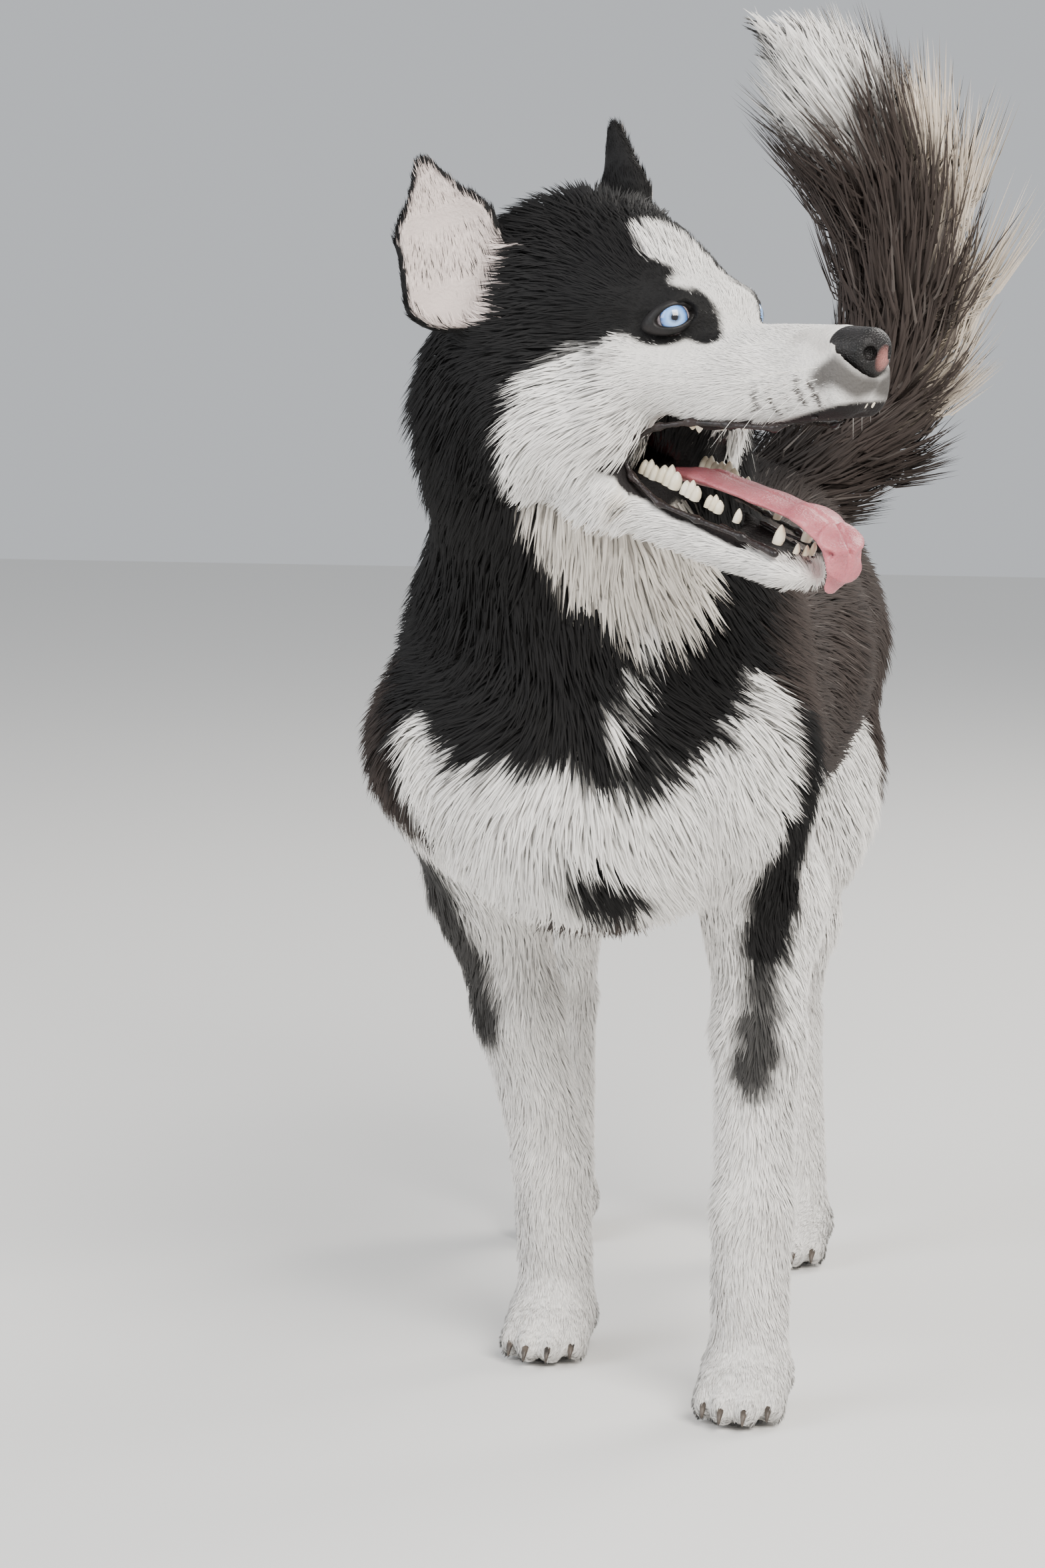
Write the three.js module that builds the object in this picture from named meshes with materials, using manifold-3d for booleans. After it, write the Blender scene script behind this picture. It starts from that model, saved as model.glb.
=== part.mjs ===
// Siberian husky standing on all four feet, its head turned to its left, mouth open, tail carried up.
// Millimetres. +Z is up, the dog faces -Y and its left side is +X. The soles lie flat on z = 0.

import * as THREE from 'three';
import { mergeVertices } from 'three/addons/utils/BufferGeometryUtils.js';
import Module from 'manifold-3d';

const wasm = await Module();
wasm.setup();

// Driving dimensions in millimetres, and angles in degrees
const GAP = 0.6;
const HEAD_MIDDLE = [90, -180, 642];
const HEAD_TURN = 60;
const HEAD_LIFT = 8;
const JAW_HINGE = [0, 77, -40];
const JAW_OPEN = 30;
const EYE_RADIUS = 11;
const SPINE_HEIGHT = 425;
const FORE_PAWS = { left: [92, -62], right: [-52, 62] };
const HIND_PAWS = { left: [48, 357], right: [-122, 401] };
const WRIST_HEIGHT = 120;
const HOCK_HEIGHT = 158;
const ELBOW_HEIGHT = 300;
const STIFLE_HEIGHT = 302;
const SIDES = { left: 1, right: -1 };

// Places: the body stands in the world, the head is turned on the neck, the jaw hangs from its hinge
const BODY = new THREE.Matrix4();
const HEAD = new THREE.Matrix4()
  .makeTranslation(...HEAD_MIDDLE)
  .multiply(new THREE.Matrix4().makeRotationZ(THREE.MathUtils.degToRad(HEAD_TURN)))
  .multiply(new THREE.Matrix4().makeRotationX(THREE.MathUtils.degToRad(-HEAD_LIFT)));
const JAW = HEAD.clone()
  .multiply(new THREE.Matrix4().makeTranslation(...JAW_HINGE))
  .multiply(new THREE.Matrix4().makeRotationX(THREE.MathUtils.degToRad(JAW_OPEN)));

function pointIn(place, coordinates) {
  return new THREE.Vector3(...coordinates).applyMatrix4(place);
}

function directionIn(place, coordinates) {
  return new THREE.Vector3(...coordinates).transformDirection(place);
}

// A bar of flesh is an oval rod with round ends. Its half sizes are [across, deep] at each end,
// "deep" says which way the second one lies, and "blend" how softly it runs into the bars before it.
function bar(from, to, start, end, options = {}) {
  const { place = BODY, deep = [0, 0, 1], blend = 20, tips = null } = options;
  const first = pointIn(place, from);
  const last = pointIn(place, to);
  const axis = last.clone().sub(first).normalize();
  const side = axis.clone().cross(directionIn(place, deep)).normalize();
  const caps = tips ?? [(start[0] + start[1]) / 2, (end[0] + end[1]) / 2];
  return {
    from: first,
    to: last,
    axis,
    side,
    deep: side.clone().cross(axis),
    length: first.distanceTo(last),
    start,
    end,
    caps,
    blend,
  };
}

const offset = new THREE.Vector3();

function barDistance(rod, point) {
  offset.subVectors(point, rod.from);
  const along = offset.dot(rod.axis);
  const share = THREE.MathUtils.clamp(along / rod.length, 0, 1);
  const past = along - share * rod.length;
  const across = offset.dot(rod.side);
  const deep = offset.dot(rod.deep);
  const halfAcross = THREE.MathUtils.lerp(rod.start[0], rod.end[0], share);
  const halfDeep = THREE.MathUtils.lerp(rod.start[1], rod.end[1], share);
  const cap = THREE.MathUtils.lerp(rod.caps[0], rod.caps[1], share);
  const stretch = Math.hypot(across / halfAcross, deep / halfDeep, past / cap);
  const reach = Math.hypot(across, deep, past);
  return stretch < 0.001 ? -Math.min(halfAcross, halfDeep) : reach - reach / stretch;
}

function softMin(a, b, width) {
  const overlap = Math.max(width - Math.abs(a - b), 0) / width;
  return Math.min(a, b) - overlap * overlap * width * 0.25;
}

function fleshDistance(flesh, point) {
  return flesh.reduce((near, rod) => softMin(near, barDistance(rod, point), rod.blend), 1e6);
}

// Leaves an inner point along a direction and stops where the flesh ends
function skinPoint(flesh, inside, direction, grow = 0) {
  const step = 3;
  let reach = 0;
  const probe = new THREE.Vector3();
  while (reach < 400) {
    probe.copy(inside).addScaledVector(direction, reach + step);
    if (fleshDistance(flesh, probe) > grow) break;
    reach += step;
  }
  let near = reach;
  let far = reach + step;
  for (let i = 0; i < 14; i += 1) {
    const middle = (near + far) / 2;
    probe.copy(inside).addScaledVector(direction, middle);
    if (fleshDistance(flesh, probe) > grow) far = middle;
    else near = middle;
  }
  return probe.copy(inside).addScaledVector(direction, near).clone();
}

// Closed geometry to a solid for joining and cutting, and back
function toSolid(source) {
  const bare = source.clone();
  bare.deleteAttribute('normal');
  bare.deleteAttribute('uv');
  const merged = mergeVertices(bare, 0.002);
  const corners = merged.index.array;
  const kept = [];
  for (let i = 0; i < corners.length; i += 3) {
    const [a, b, c] = corners.slice(i, i + 3);
    if (a !== b && b !== c && c !== a) kept.push(a, b, c);
  }
  const vertProperties = new Float32Array(merged.attributes.position.array);
  return new wasm.Manifold(new wasm.Mesh({ numProp: 3, vertProperties, triVerts: new Uint32Array(kept) }));
}

function toGeometry(solid) {
  const mesh = solid.getMesh();
  const geometry = new THREE.BufferGeometry();
  geometry.setAttribute('position', new THREE.BufferAttribute(new Float32Array(mesh.vertProperties), 3));
  geometry.setIndex(Array.from(mesh.triVerts));
  geometry.computeVertexNormals();
  return geometry;
}

function joined(solids) {
  return solids.reduce((whole, piece) => whole.add(piece));
}

function largest(solid) {
  const shells = solid.decompose();
  return shells.reduce((best, shell) => (shell.volume() > best.volume() ? shell : best));
}

// Presses a capsule blank onto the flesh: each vertex leaves the core line and stops at the skin
function loft(flesh, core, { sides = 16, rings = 10, capRings = 3, deep = [0, 0, 1] } = {}, grow = 0) {
  const line = new THREE.CatmullRomCurve3(core, false, 'centripetal');
  const blank = new THREE.CapsuleGeometry(1, 1, capRings, sides, rings);
  const position = blank.attributes.position;
  const deepWay = new THREE.Vector3(...deep);
  const vertex = new THREE.Vector3();
  for (let i = 0; i < position.count; i += 1) {
    vertex.fromBufferAttribute(position, i);
    const height = THREE.MathUtils.clamp(vertex.y, -0.5, 0.5);
    const share = height + 0.5;
    const inside = line.getPointAt(share);
    const forward = line.getTangentAt(share);
    const side = forward.clone().cross(deepWay).normalize();
    const other = side.clone().cross(forward);
    const direction = new THREE.Vector3()
      .addScaledVector(side, vertex.x)
      .addScaledVector(forward, vertex.y - height)
      .addScaledVector(other, vertex.z)
      .normalize();
    const skin = skinPoint(flesh, inside, direction, grow);
    position.setXYZ(i, skin.x, skin.y, skin.z);
  }
  return toSolid(blank);
}

function barLoft(rod, detail, grow) {
  const deep = rod.deep.toArray();
  return loft([rod], [rod.from, rod.to], { ...detail, deep }, grow);
}

// A piece placed with its own +Y along a direction
function alongDirection(geometry, origin, direction, roll = 0) {
  const turn = new THREE.Quaternion().setFromUnitVectors(new THREE.Vector3(0, 1, 0), direction);
  const spin = new THREE.Quaternion().setFromAxisAngle(new THREE.Vector3(0, 1, 0), roll);
  const one = new THREE.Vector3(1, 1, 1);
  return geometry.applyMatrix4(new THREE.Matrix4().compose(origin, turn.multiply(spin), one));
}

// All that lies on the normal's side of a plane
function halfSpace(origin, normal) {
  const size = 2400;
  const block = new THREE.BoxGeometry(size, size, size).translate(0, size / 2, 0);
  return toSolid(alongDirection(block, origin, normal.clone().normalize()));
}

const aboveFloor = halfSpace(new THREE.Vector3(0, 0, 0), new THREE.Vector3(0, 0, 1));

// A lock of coat is a flat blade with four sides that runs from its sunk root over a bend to its tip
const LOCK_FLATNESS = 0.34;
const LOCK_FULLNESS = [0.7, 1, 0.7, 0];

function lockForm(root, bend, tip, width, grow) {
  const spine = new THREE.QuadraticBezierCurve3(root, bend, tip);
  const chord = tip.clone().sub(root);
  const across = chord.cross(bend.clone().sub(root)).normalize();
  const blank = new THREE.ConeGeometry(1, 1, 4, 3);
  const position = blank.attributes.position;
  const vertex = new THREE.Vector3();
  for (let i = 0; i < position.count; i += 1) {
    vertex.fromBufferAttribute(position, i);
    const share = vertex.y + 0.5;
    const forward = spine.getTangent(share);
    const up = across.clone().cross(forward);
    const full = share < 0.99 ? LOCK_FULLNESS[Math.round(share * 3)] / (1 - share) : 0;
    const place = spine.getPoint(share)
      .addScaledVector(across, vertex.x * full * (width / 2 + grow))
      .addScaledVector(up, vertex.z * full * (width * LOCK_FLATNESS / 2 + grow))
      .addScaledVector(forward, share > 0.99 ? grow * 3 : 0);
    position.setXYZ(i, place.x, place.y, place.z);
  }
  return toSolid(blank);
}

// Rings of locks round a core line. Each one leaves the flesh at "share" along the line and comes out
// at "share + run" on the outer form, pushed out by "stand" there.
function lockRings(line, deepWay, inner, outer, options, grow) {
  const { shares, around, run, stand, width, sunk, seed, skip = () => false } = options;
  THREE.MathUtils.seededRandom(seed);
  const shaken = (amount) => (THREE.MathUtils.seededRandom() - 0.5) * 2 * amount;
  const outward = (share, angle) => {
    const forward = line.getTangentAt(share);
    const side = forward.clone().cross(deepWay).normalize();
    return side.clone().multiplyScalar(Math.cos(angle))
      .addScaledVector(side.clone().cross(forward), Math.sin(angle));
  };
  const locks = [];
  shares.forEach((middleShare, ring) => {
    for (let k = 0; k < around; k += 1) {
      const angle = ((k + (ring % 2) / 2 + shaken(0.18)) * Math.PI * 2) / around;
      const share = THREE.MathUtils.clamp(middleShare + shaken(0.012), 0.01, 0.98);
      const end = THREE.MathUtils.clamp(share + run * (1 + shaken(0.15)), 0.01, 0.995);
      const wide = width(share) * (1 + shaken(0.12));
      const start = outward(share, angle);
      const finish = outward(end, angle + shaken(0.12));
      const root = skinPoint(inner, line.getPointAt(share), start).addScaledVector(start, -sunk);
      const tip = skinPoint(outer, line.getPointAt(end), finish).addScaledVector(finish, stand);
      const half = outward((share + end) / 2, angle);
      const bend = skinPoint(outer, line.getPointAt((share + end) / 2), half).addScaledVector(half, stand);
      if (!skip(root, tip)) locks.push(lockForm(root, bend, tip, wide, grow));
    }
  });
  return joined(locks);
}

// Trunk: ribs, loin, croup, breast and shoulder blades, with the neck rising from them
function trunkFlesh() {
  const flesh = [
    bar([0, -25, 408], [0, 185, 418], [112, 128], [120, 112], { blend: 30 }),
    bar([0, 185, SPINE_HEIGHT], [0, 310, 434], [112, 106], [100, 98], { blend: 40 }),
    bar([0, 300, 442], [0, 372, 438], [98, 94], [82, 78], { blend: 40 }),
    bar([0, -55, 385], [0, -48, 455], [100, 72], [84, 62], { deep: [0, -1, 0], blend: 40 }),
  ];
  for (const side of Object.values(SIDES)) {
    const shoulder = side > 0 ? [84, -52, 392] : [-88, -40, 392];
    flesh.push(bar([side * 56, 34, 500], shoulder, [36, 52], [42, 54], { deep: [0, 1, 0], blend: 36 }));
    flesh.push(bar([side * 60, 386, 418], [side * 64, 398, 345], [38, 52], [26, 36], { deep: [0, 1, 0], blend: 30 }));
  }
  flesh.push(bar([0, -28, 470], [2, -96, 590], [104, 112], [90, 92], { deep: [0, -1, 0.4], blend: 40 }));
  flesh.push(bar([2, -96, 590], [14, -122, 640], [90, 92], [76, 74], { deep: [0, -1, 0.4], blend: 36 }));
  return flesh;
}

const TRUNK = trunkFlesh();
const TRUNK_CORE = [
  [0, 374, 438], [0, 230, 426], [0, 90, 422], [0, -5, 440], [0, -50, 505], [3, -92, 585], [14, -118, 634],
].map((place) => new THREE.Vector3(...place));
const NECK_ROOT = new THREE.Vector3(0, -35, 500);
const NECK_WAY = new THREE.Vector3(0, -0.55, 0.835).normalize();
const TRUNK_DETAIL = { sides: 16, rings: 14, capRings: 3, deep: [0, 0.35, 0.94] };
const TRUNK_LINE = new THREE.CatmullRomCurve3(TRUNK_CORE, false, 'centripetal');
const RUFF = {
  shares: [0.8, 0.87],
  around: 9,
  run: -0.12,
  stand: 6,
  width: () => 54,
  sunk: 4,
  seed: 3,
};

function trunkForm(grow) {
  return loft(TRUNK, TRUNK_CORE, TRUNK_DETAIL, grow);
}

function neckForm(grow) {
  const cut = NECK_ROOT.clone().addScaledVector(NECK_WAY, GAP / 2 - grow);
  const ruff = lockRings(TRUNK_LINE, new THREE.Vector3(...TRUNK_DETAIL.deep), TRUNK, TRUNK, RUFF, grow);
  return trunkForm(grow).intersect(halfSpace(cut, NECK_WAY)).add(ruff);
}

function torsoForm(grow) {
  const cut = NECK_ROOT.clone().addScaledVector(NECK_WAY, grow - GAP / 2);
  return trunkForm(grow).intersect(halfSpace(cut, NECK_WAY.clone().negate()));
}

// Legs: each one is a chain of bars from the shoulder or hip down to the foot
function legChain(points, halves, blends, deep) {
  return halves.map(([start, end], i) => bar(points[i], points[i + 1], start, end, { deep, blend: blends[i] }));
}

function foreleg(name) {
  const left = name === 'left';
  const shoulder = left ? [84, -52, 388] : [-88, -40, 388];
  const elbow = left ? [91, 2, ELBOW_HEIGHT] : [-84, 40, ELBOW_HEIGHT];
  const wrist = left ? [92, -34, WRIST_HEIGHT] : [-55, 84, WRIST_HEIGHT];
  const paw = FORE_PAWS[name];
  const middle = elbow.map((value, i) => THREE.MathUtils.lerp(value, wrist[i], 0.45));
  const ankle = [paw[0], paw[1] + 22, 46];
  const points = [shoulder, elbow, middle, wrist, ankle];
  const halves = [[[41, 52], [34, 42]], [[34, 41], [28, 30]], [[28, 30], [25, 26]], [[25.5, 26], [25, 23]]];
  return {
    flesh: legChain(points, halves, [30, 22, 12, 10], [0, 1, 0]),
    core: [...points, [paw[0], paw[1] + 16, 26]].map((place) => new THREE.Vector3(...place)),
  };
}

function hindleg(name) {
  const left = name === 'left';
  const side = SIDES[name];
  const hip = left ? [58, 350, 425] : [-60, 355, 425];
  const stifle = left ? [70, 308, STIFLE_HEIGHT] : [-92, 328, STIFLE_HEIGHT];
  const hock = left ? [40, 404, HOCK_HEIGHT] : [-124, 446, HOCK_HEIGHT];
  const paw = HIND_PAWS[name];
  const haunch = [(hip[0] + stifle[0]) / 2 + side * 4, stifle[1] + 24, STIFLE_HEIGHT + 34];
  const calf = stifle.map((value, i) => THREE.MathUtils.lerp(value, hock[i], 0.5));
  const ankle = [paw[0], paw[1] + 26, 44];
  const points = [hip, haunch, stifle, calf, hock, ankle];
  const halves = [
    [[42, 82], [36, 62]],
    [[35, 58], [29, 42]],
    [[29, 44], [22, 32]],
    [[22, 31], [18.5, 23]],
    [[20, 24], [21, 22]],
  ];
  return {
    flesh: legChain(points, halves, [34, 30, 22, 14, 10], [0, 1, 0]),
    core: [...points, [paw[0], paw[1] + 16, 24]].map((place) => new THREE.Vector3(...place)),
  };
}

// A paw is a pad with four toes, each with a blunt claw, cut flat where it stands
function pawForm([x, y], halfWidth, grow) {
  const pad = bar([x, y + 16, 25], [x, y - 6, 18], [halfWidth, 25], [halfWidth - 2, 19], { tips: [24, 16] });
  const pieces = [barLoft(pad, { sides: 10, rings: 2, capRings: 2 }, grow)];
  for (const [across, ahead] of [[-0.66, 12], [-0.24, 24], [0.24, 24], [0.66, 12]]) {
    const root = [x + across * halfWidth * 0.8, y + 4, 20];
    const tip = [x + across * halfWidth, y - ahead, 11.5];
    const toe = bar(root, tip, [halfWidth * 0.4, 15], [halfWidth * 0.34, 12.5]);
    pieces.push(barLoft(toe, { sides: 6, rings: 1, capRings: 2 }, grow));
    const claw = new THREE.ConeGeometry(2.8 + grow, 14 + grow, 4);
    const clawWay = new THREE.Vector3(0, -0.8, -0.6).normalize();
    pieces.push(toSolid(alongDirection(claw, new THREE.Vector3(tip[0], tip[1] - 10, 9), clawWay)));
  }
  return joined(pieces).intersect(aboveFloor);
}

// Tail: a slim rod of flesh carried up and to the left, curling forward at its white end. Its brush of
// locks fills the wide outline and points up to the tip.
const TAIL_PLACES = [
  [0, 425, 492], [40, 444, 520], [78, 448, 545], [98, 448, 585], [107, 445, 639], [101, 437, 690],
  [90, 428, 720], [74, 413, 756], [58, 400, 782], [43, 390, 801], [23, 379, 815],
];
const TAIL_HALVES = [
  [40, 36], [38, 38], [46, 42], [57, 46], [62, 46], [56, 44], [53, 42], [46, 38], [34, 28], [20, 16], [6, 6],
];
const TAIL_CORE_SHARE = 0.5;

function tailFlesh(share) {
  const half = TAIL_HALVES.map((pair) => pair.map((value) => value * share));
  return TAIL_PLACES.slice(1).map((place, i) => bar(
    TAIL_PLACES[i], place, half[i], half[i + 1], { deep: [0, 1, 0], blend: 16 },
  ));
}

const TAIL_OUTLINE = tailFlesh(1);
const TAIL_ROD = tailFlesh(TAIL_CORE_SHARE);
const TAIL_CORE = TAIL_PLACES.map((place) => new THREE.Vector3(...place));
const TAIL_LINE = new THREE.CatmullRomCurve3(TAIL_CORE, false, 'centripetal');
const TAIL_BRUSH = {
  shares: Array.from({ length: 8 }, (_, i) => 0.03 + i * 0.11),
  around: 7,
  run: 0.13,
  stand: 0,
  width: (share) => 40 * Math.min(1, 1.55 - share),
  sunk: 4,
  seed: 5,
};

function tailForm(grow) {
  const rod = loft(TAIL_ROD, TAIL_CORE, { sides: 8, rings: 10, capRings: 1, deep: [0, 1, 0] }, grow);
  return rod.add(lockRings(TAIL_LINE, new THREE.Vector3(0, 1, 0), TAIL_ROD, TAIL_OUTLINE, TAIL_BRUSH, grow));
}

// Head: skull, brows, cheeks, muzzle and the webs of skin behind the corners of the mouth
function headFlesh() {
  const place = HEAD;
  const flesh = [
    bar([0, 92, 4], [0, 42, 8], [60, 56], [54, 44], { place, blend: 24 }),
    bar([0, 40, 12], [0, -6, 2], [48, 38], [33, 21], { place, blend: 20 }),
    bar([0, -16, -28], [0, -100, -35], [28, 24], [21, 22], { place, blend: 14, tips: [24, 20] }),
  ];
  for (const side of Object.values(SIDES)) {
    flesh.push(bar([side * 24, 16, 12], [side * 25, -4, 8], [15, 15], [13, 12], { place, blend: 12 }));
    flesh.push(bar([side * 42, 86, -42], [side * 39, 38, -40], [35, 44], [28, 34], { place, blend: 26 }));
    flesh.push(bar([side * 36, 26, -26], [side * 20, -36, -38], [22, 22], [14, 20], { place, blend: 16 }));
    flesh.push(bar([side * 20, -16, -46], [side * 10, -98, -51], [14, 17], [12, 15], { place, blend: 12 }));
    flesh.push(bar([side * 38, 62, -56], [side * 37, 56, -92], [18, 26], [18, 26], { place, deep: [0, 1, 0], blend: 18 }));
  }
  return flesh;
}

const HEAD_FLESH = headFlesh();
const HEAD_CORE = [[0, 92, -16], [0, 45, -12], [0, 0, -22], [0, -50, -38], [0, -98, -42]].map((p) => pointIn(HEAD, p));

// The roof of the mouth, and the open space between the jaws
const MOUTH_ROOF = [
  bar([0, 52, -72], [0, -20, -72], [27, 16], [22, 14], { place: HEAD }),
  bar([0, -20, -72], [0, -94, -70], [22, 14], [11, 10], { place: HEAD }),
  bar([0, 40, -92], [0, -20, -94], [26, 18], [26, 18], { place: HEAD }),
];

// The open space goes right across between the corners of the mouth
const MOUTH_GAPE = bar([0, 24, -78], [0, -34, -92], [70, 14], [70, 30], { place: HEAD, tips: [14, 30] });

function gapeForm(grow) {
  return barLoft(MOUTH_GAPE, { sides: 12, rings: 2, capRings: 2 }, grow);
}

function toothRow(place, places, length, rise, grow) {
  const pieces = [];
  for (const side of Object.values(SIDES)) {
    for (const [across, back, up, width] of places) {
      const tooth = new THREE.ConeGeometry(width + grow, length * (width / 4) + grow, 4);
      pieces.push(toSolid(alongDirection(tooth, pointIn(place, [side * across, back, up]), directionIn(place, [0, 0, rise]))));
    }
  }
  return joined(pieces);
}

const UPPER_TEETH = [
  [22, 12, -57, 6], [21, -8, -58, 5.5], [20, -28, -58, 4.5], [18, -48, -58, 4], [16, -66, -58, 3.5],
  [13, -90, -58, 5.5], [8, -103, -57, 3], [3, -107, -57, 3],
];
const LOWER_TEETH = [
  [25, -60, -8, 5], [24, -74, -6, 6], [23, -90, -7, 5], [20.5, -106, -8, 4.5], [17, -121, -9, 4], [12, -148, -8, 5.5],
  [7, -158, -12, 3], [2.6, -161, -12, 3],
];

function eyePlace(name) {
  const outward = directionIn(HEAD, [SIDES[name] * 0.56, -0.82, 0.06]);
  const inside = pointIn(HEAD, [SIDES[name] * 20, 14, 0]);
  const skin = skinPoint(HEAD_FLESH, inside, outward);
  return { centre: skin.clone().addScaledVector(outward, 0.5 - EYE_RADIUS), skin, outward };
}

function eyeForm(name, grow) {
  const { centre, outward } = eyePlace(name);
  return toSolid(alongDirection(new THREE.SphereGeometry(EYE_RADIUS + grow, 12, 10), centre, outward));
}

// Each pair of lids is an almond ring round the eye, slanted up to the outer corner
function lidForm(name, grow) {
  const { skin, outward } = eyePlace(name);
  const ring = new THREE.TorusGeometry(12, 2.6 + grow, 6, 14).scale(1, 0.72, 1);
  const up = directionIn(HEAD, [SIDES[name] * 0.2, 0.1, 1]);
  const across = up.clone().cross(outward).normalize();
  const frame = new THREE.Matrix4().makeBasis(across, outward.clone().cross(across), outward);
  return toSolid(ring.applyMatrix4(frame.setPosition(skin.addScaledVector(outward, -1.2))));
}

function headForm(grow) {
  const skull = loft(HEAD_FLESH, HEAD_CORE, { sides: 18, rings: 14, capRings: 4 }, grow);
  const roof = joined(MOUTH_ROOF.map((rod) => barLoft(rod, { sides: 8, rings: 2, capRings: 2 }, -grow)));
  const lids = [lidForm('left', grow), lidForm('right', grow)];
  const teeth = toothRow(HEAD, UPPER_TEETH, 16, -1, grow);
  return joined([skull.subtract(roof).subtract(gapeForm(-grow)), teeth, ...lids]);
}

// Nose: a soft pad with two nostrils
const NOSE = [
  bar([0, -98, -27], [0, -112, -31], [20, 14.5], [15, 15], { place: HEAD, tips: [10, 12], blend: 4 }),
];

function noseForm(grow) {
  const pad = barLoft(NOSE[0], { sides: 12, rings: 2, capRings: 3 }, grow);
  if (grow > 0) return pad;
  const nostrils = Object.values(SIDES).map((side) => {
    const hole = new THREE.SphereGeometry(4.2, 8, 6).scale(1, 1.5, 0.8);
    return toSolid(alongDirection(hole, pointIn(HEAD, [side * 8.5, -122, -32]), directionIn(HEAD, [side * 0.6, 0.7, 0])));
  });
  return nostrils.reduce((solid, hole) => solid.subtract(hole), pad);
}

// Lower jaw, hung open
function jawFlesh() {
  const place = JAW;
  const flesh = [bar([0, -14, -44], [0, -150, -27], [34, 17], [13, 9], { place, blend: 14 })];
  for (const side of Object.values(SIDES)) {
    flesh.push(bar([side * 33, -30, -38], [side * 12, -158, -27], [13, 21], [11, 9], { place, blend: 12 }));
  }
  flesh.push(bar([0, -148, -26], [0, -164, -25], [16, 9], [13, 7], { place, blend: 8 }));
  return flesh;
}

const JAW_FLESH = jawFlesh();
const JAW_CORE = [[0, -14, -40], [0, -80, -36], [0, -156, -26]].map((place) => pointIn(JAW, place));
const JAW_HOLLOW = bar([0, -10, -12], [0, -146, -12], [26, 16], [10, 7], { place: JAW });

function jawForm(grow) {
  const body = loft(JAW_FLESH, JAW_CORE, { sides: 16, rings: 10, capRings: 4 }, grow);
  const hollow = barLoft(JAW_HOLLOW, { sides: 10, rings: 4, capRings: 3 }, -grow);
  return joined([body.subtract(hollow).subtract(gapeForm(-grow)), toothRow(JAW, LOWER_TEETH, 17, 1, grow)]);
}

// Tongue: a broad ribbon that lies in the jaw and drops over its front
const TONGUE_PLACES = [[0, -44, -16], [0, -84, -4], [0, -125, 2], [2, -156, 5], [4, -176, 0], [3, -184, -12], [-1, -183, -24]];
const TONGUE_HALVES = [[17, 8], [19, 7], [20, 6], [21, 6], [21, 6], [17, 5.5], [9, 4.5]];
const TONGUE_DEEP = [[0, 0, 1], [0, 0, 1], [0, 0, 1], [0, -0.4, 0.9], [0, -0.85, 0.5], [0, -1, 0]];
const TONGUE = TONGUE_PLACES.slice(1).map((place, i) => bar(
  TONGUE_PLACES[i], place, TONGUE_HALVES[i], TONGUE_HALVES[i + 1], { place: JAW, deep: TONGUE_DEEP[i], blend: 6 },
));
const TONGUE_CORE = TONGUE_PLACES.map((place) => pointIn(JAW, place));

function tongueForm(grow) {
  const across = directionIn(JAW, [1, 0, 0]).toArray();
  return loft(TONGUE, TONGUE_CORE, { sides: 12, rings: 14, capRings: 3, deep: across }, grow);
}

// Ears: upright cups with round tips, the right one turned out and back, the left one seen from behind
const EARS = {
  left: { root: [50, 92, 44], tip: [54, 100, 124], half: 29, open: [0.95, -0.3, -0.1] },
  right: { root: [-57, 124, 34], tip: [-66, 138, 108], half: 36, open: [-0.73, -0.68, 0] },
};
const EAR_DEPTH = 13;

function earFlesh({ root, tip, half, open }, inset) {
  const shift = open.map((value) => value * inset);
  const low = root.map((value, i) => value + shift[i]);
  const high = tip.map((value, i) => value + shift[i]);
  const middle = low.map((value, i) => THREE.MathUtils.lerp(value, high[i], 0.45));
  const top = low.map((value, i) => THREE.MathUtils.lerp(value, high[i], 0.9));
  const wide = half - inset * 0.6;
  const deep = EAR_DEPTH - inset * 0.25;
  const options = { place: HEAD, deep: open };
  return [
    bar(low, middle, [wide, deep], [wide * 0.8, deep * 0.8], { ...options, blend: 12 }),
    bar(middle, top, [wide * 0.8, deep * 0.8], [8, 5], { ...options, blend: 6 }),
  ];
}

function earForm(name, grow) {
  const ear = EARS[name];
  const core = (inset) => earFlesh(ear, inset).flatMap((rod) => [rod.from, rod.to]).filter((_, i) => i !== 1);
  const deep = directionIn(HEAD, ear.open).toArray();
  const shell = loft(earFlesh(ear, 0), core(0), { sides: 12, rings: 5, capRings: 3, deep }, grow);
  const cup = loft(earFlesh(ear, EAR_DEPTH * 0.62), core(EAR_DEPTH * 0.62), { sides: 8, rings: 4, capRings: 2, deep }, -grow);
  return shell.subtract(cup);
}

// Every node with its colour, its form, and the nodes that it gives way to where they meet
const DARK = 0x2a2523;
const CREAM = 0xe6ddcf;
const nodes = [
  { name: 'eye_left', color: 0x9fc4e4, roughness: 0.08, form: (grow) => eyeForm('left', grow), under: [] },
  { name: 'eye_right', color: 0x9fc4e4, roughness: 0.08, form: (grow) => eyeForm('right', grow), under: [] },
  { name: 'nose', color: 0x1c1a1a, roughness: 0.45, form: noseForm, under: [] },
  { name: 'tongue', color: 0xd98a93, roughness: 0.35, form: tongueForm, under: [] },
  { name: 'head', color: CREAM, roughness: 0.9, form: headForm, under: ['eye_left', 'eye_right', 'nose', 'tongue'] },
  { name: 'lower_jaw', color: CREAM, roughness: 0.9, form: jawForm, under: ['tongue', 'head'] },
  { name: 'ear_left', color: DARK, roughness: 0.9, form: (grow) => earForm('left', grow), under: ['head'] },
  { name: 'ear_right', color: DARK, roughness: 0.9, form: (grow) => earForm('right', grow), under: ['head'] },
  {
    name: 'neck',
    color: DARK,
    roughness: 0.9,
    form: neckForm,
    under: ['head', 'lower_jaw', 'ear_left', 'ear_right', 'tongue'],
  },
];
const legNodes = [];
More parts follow.
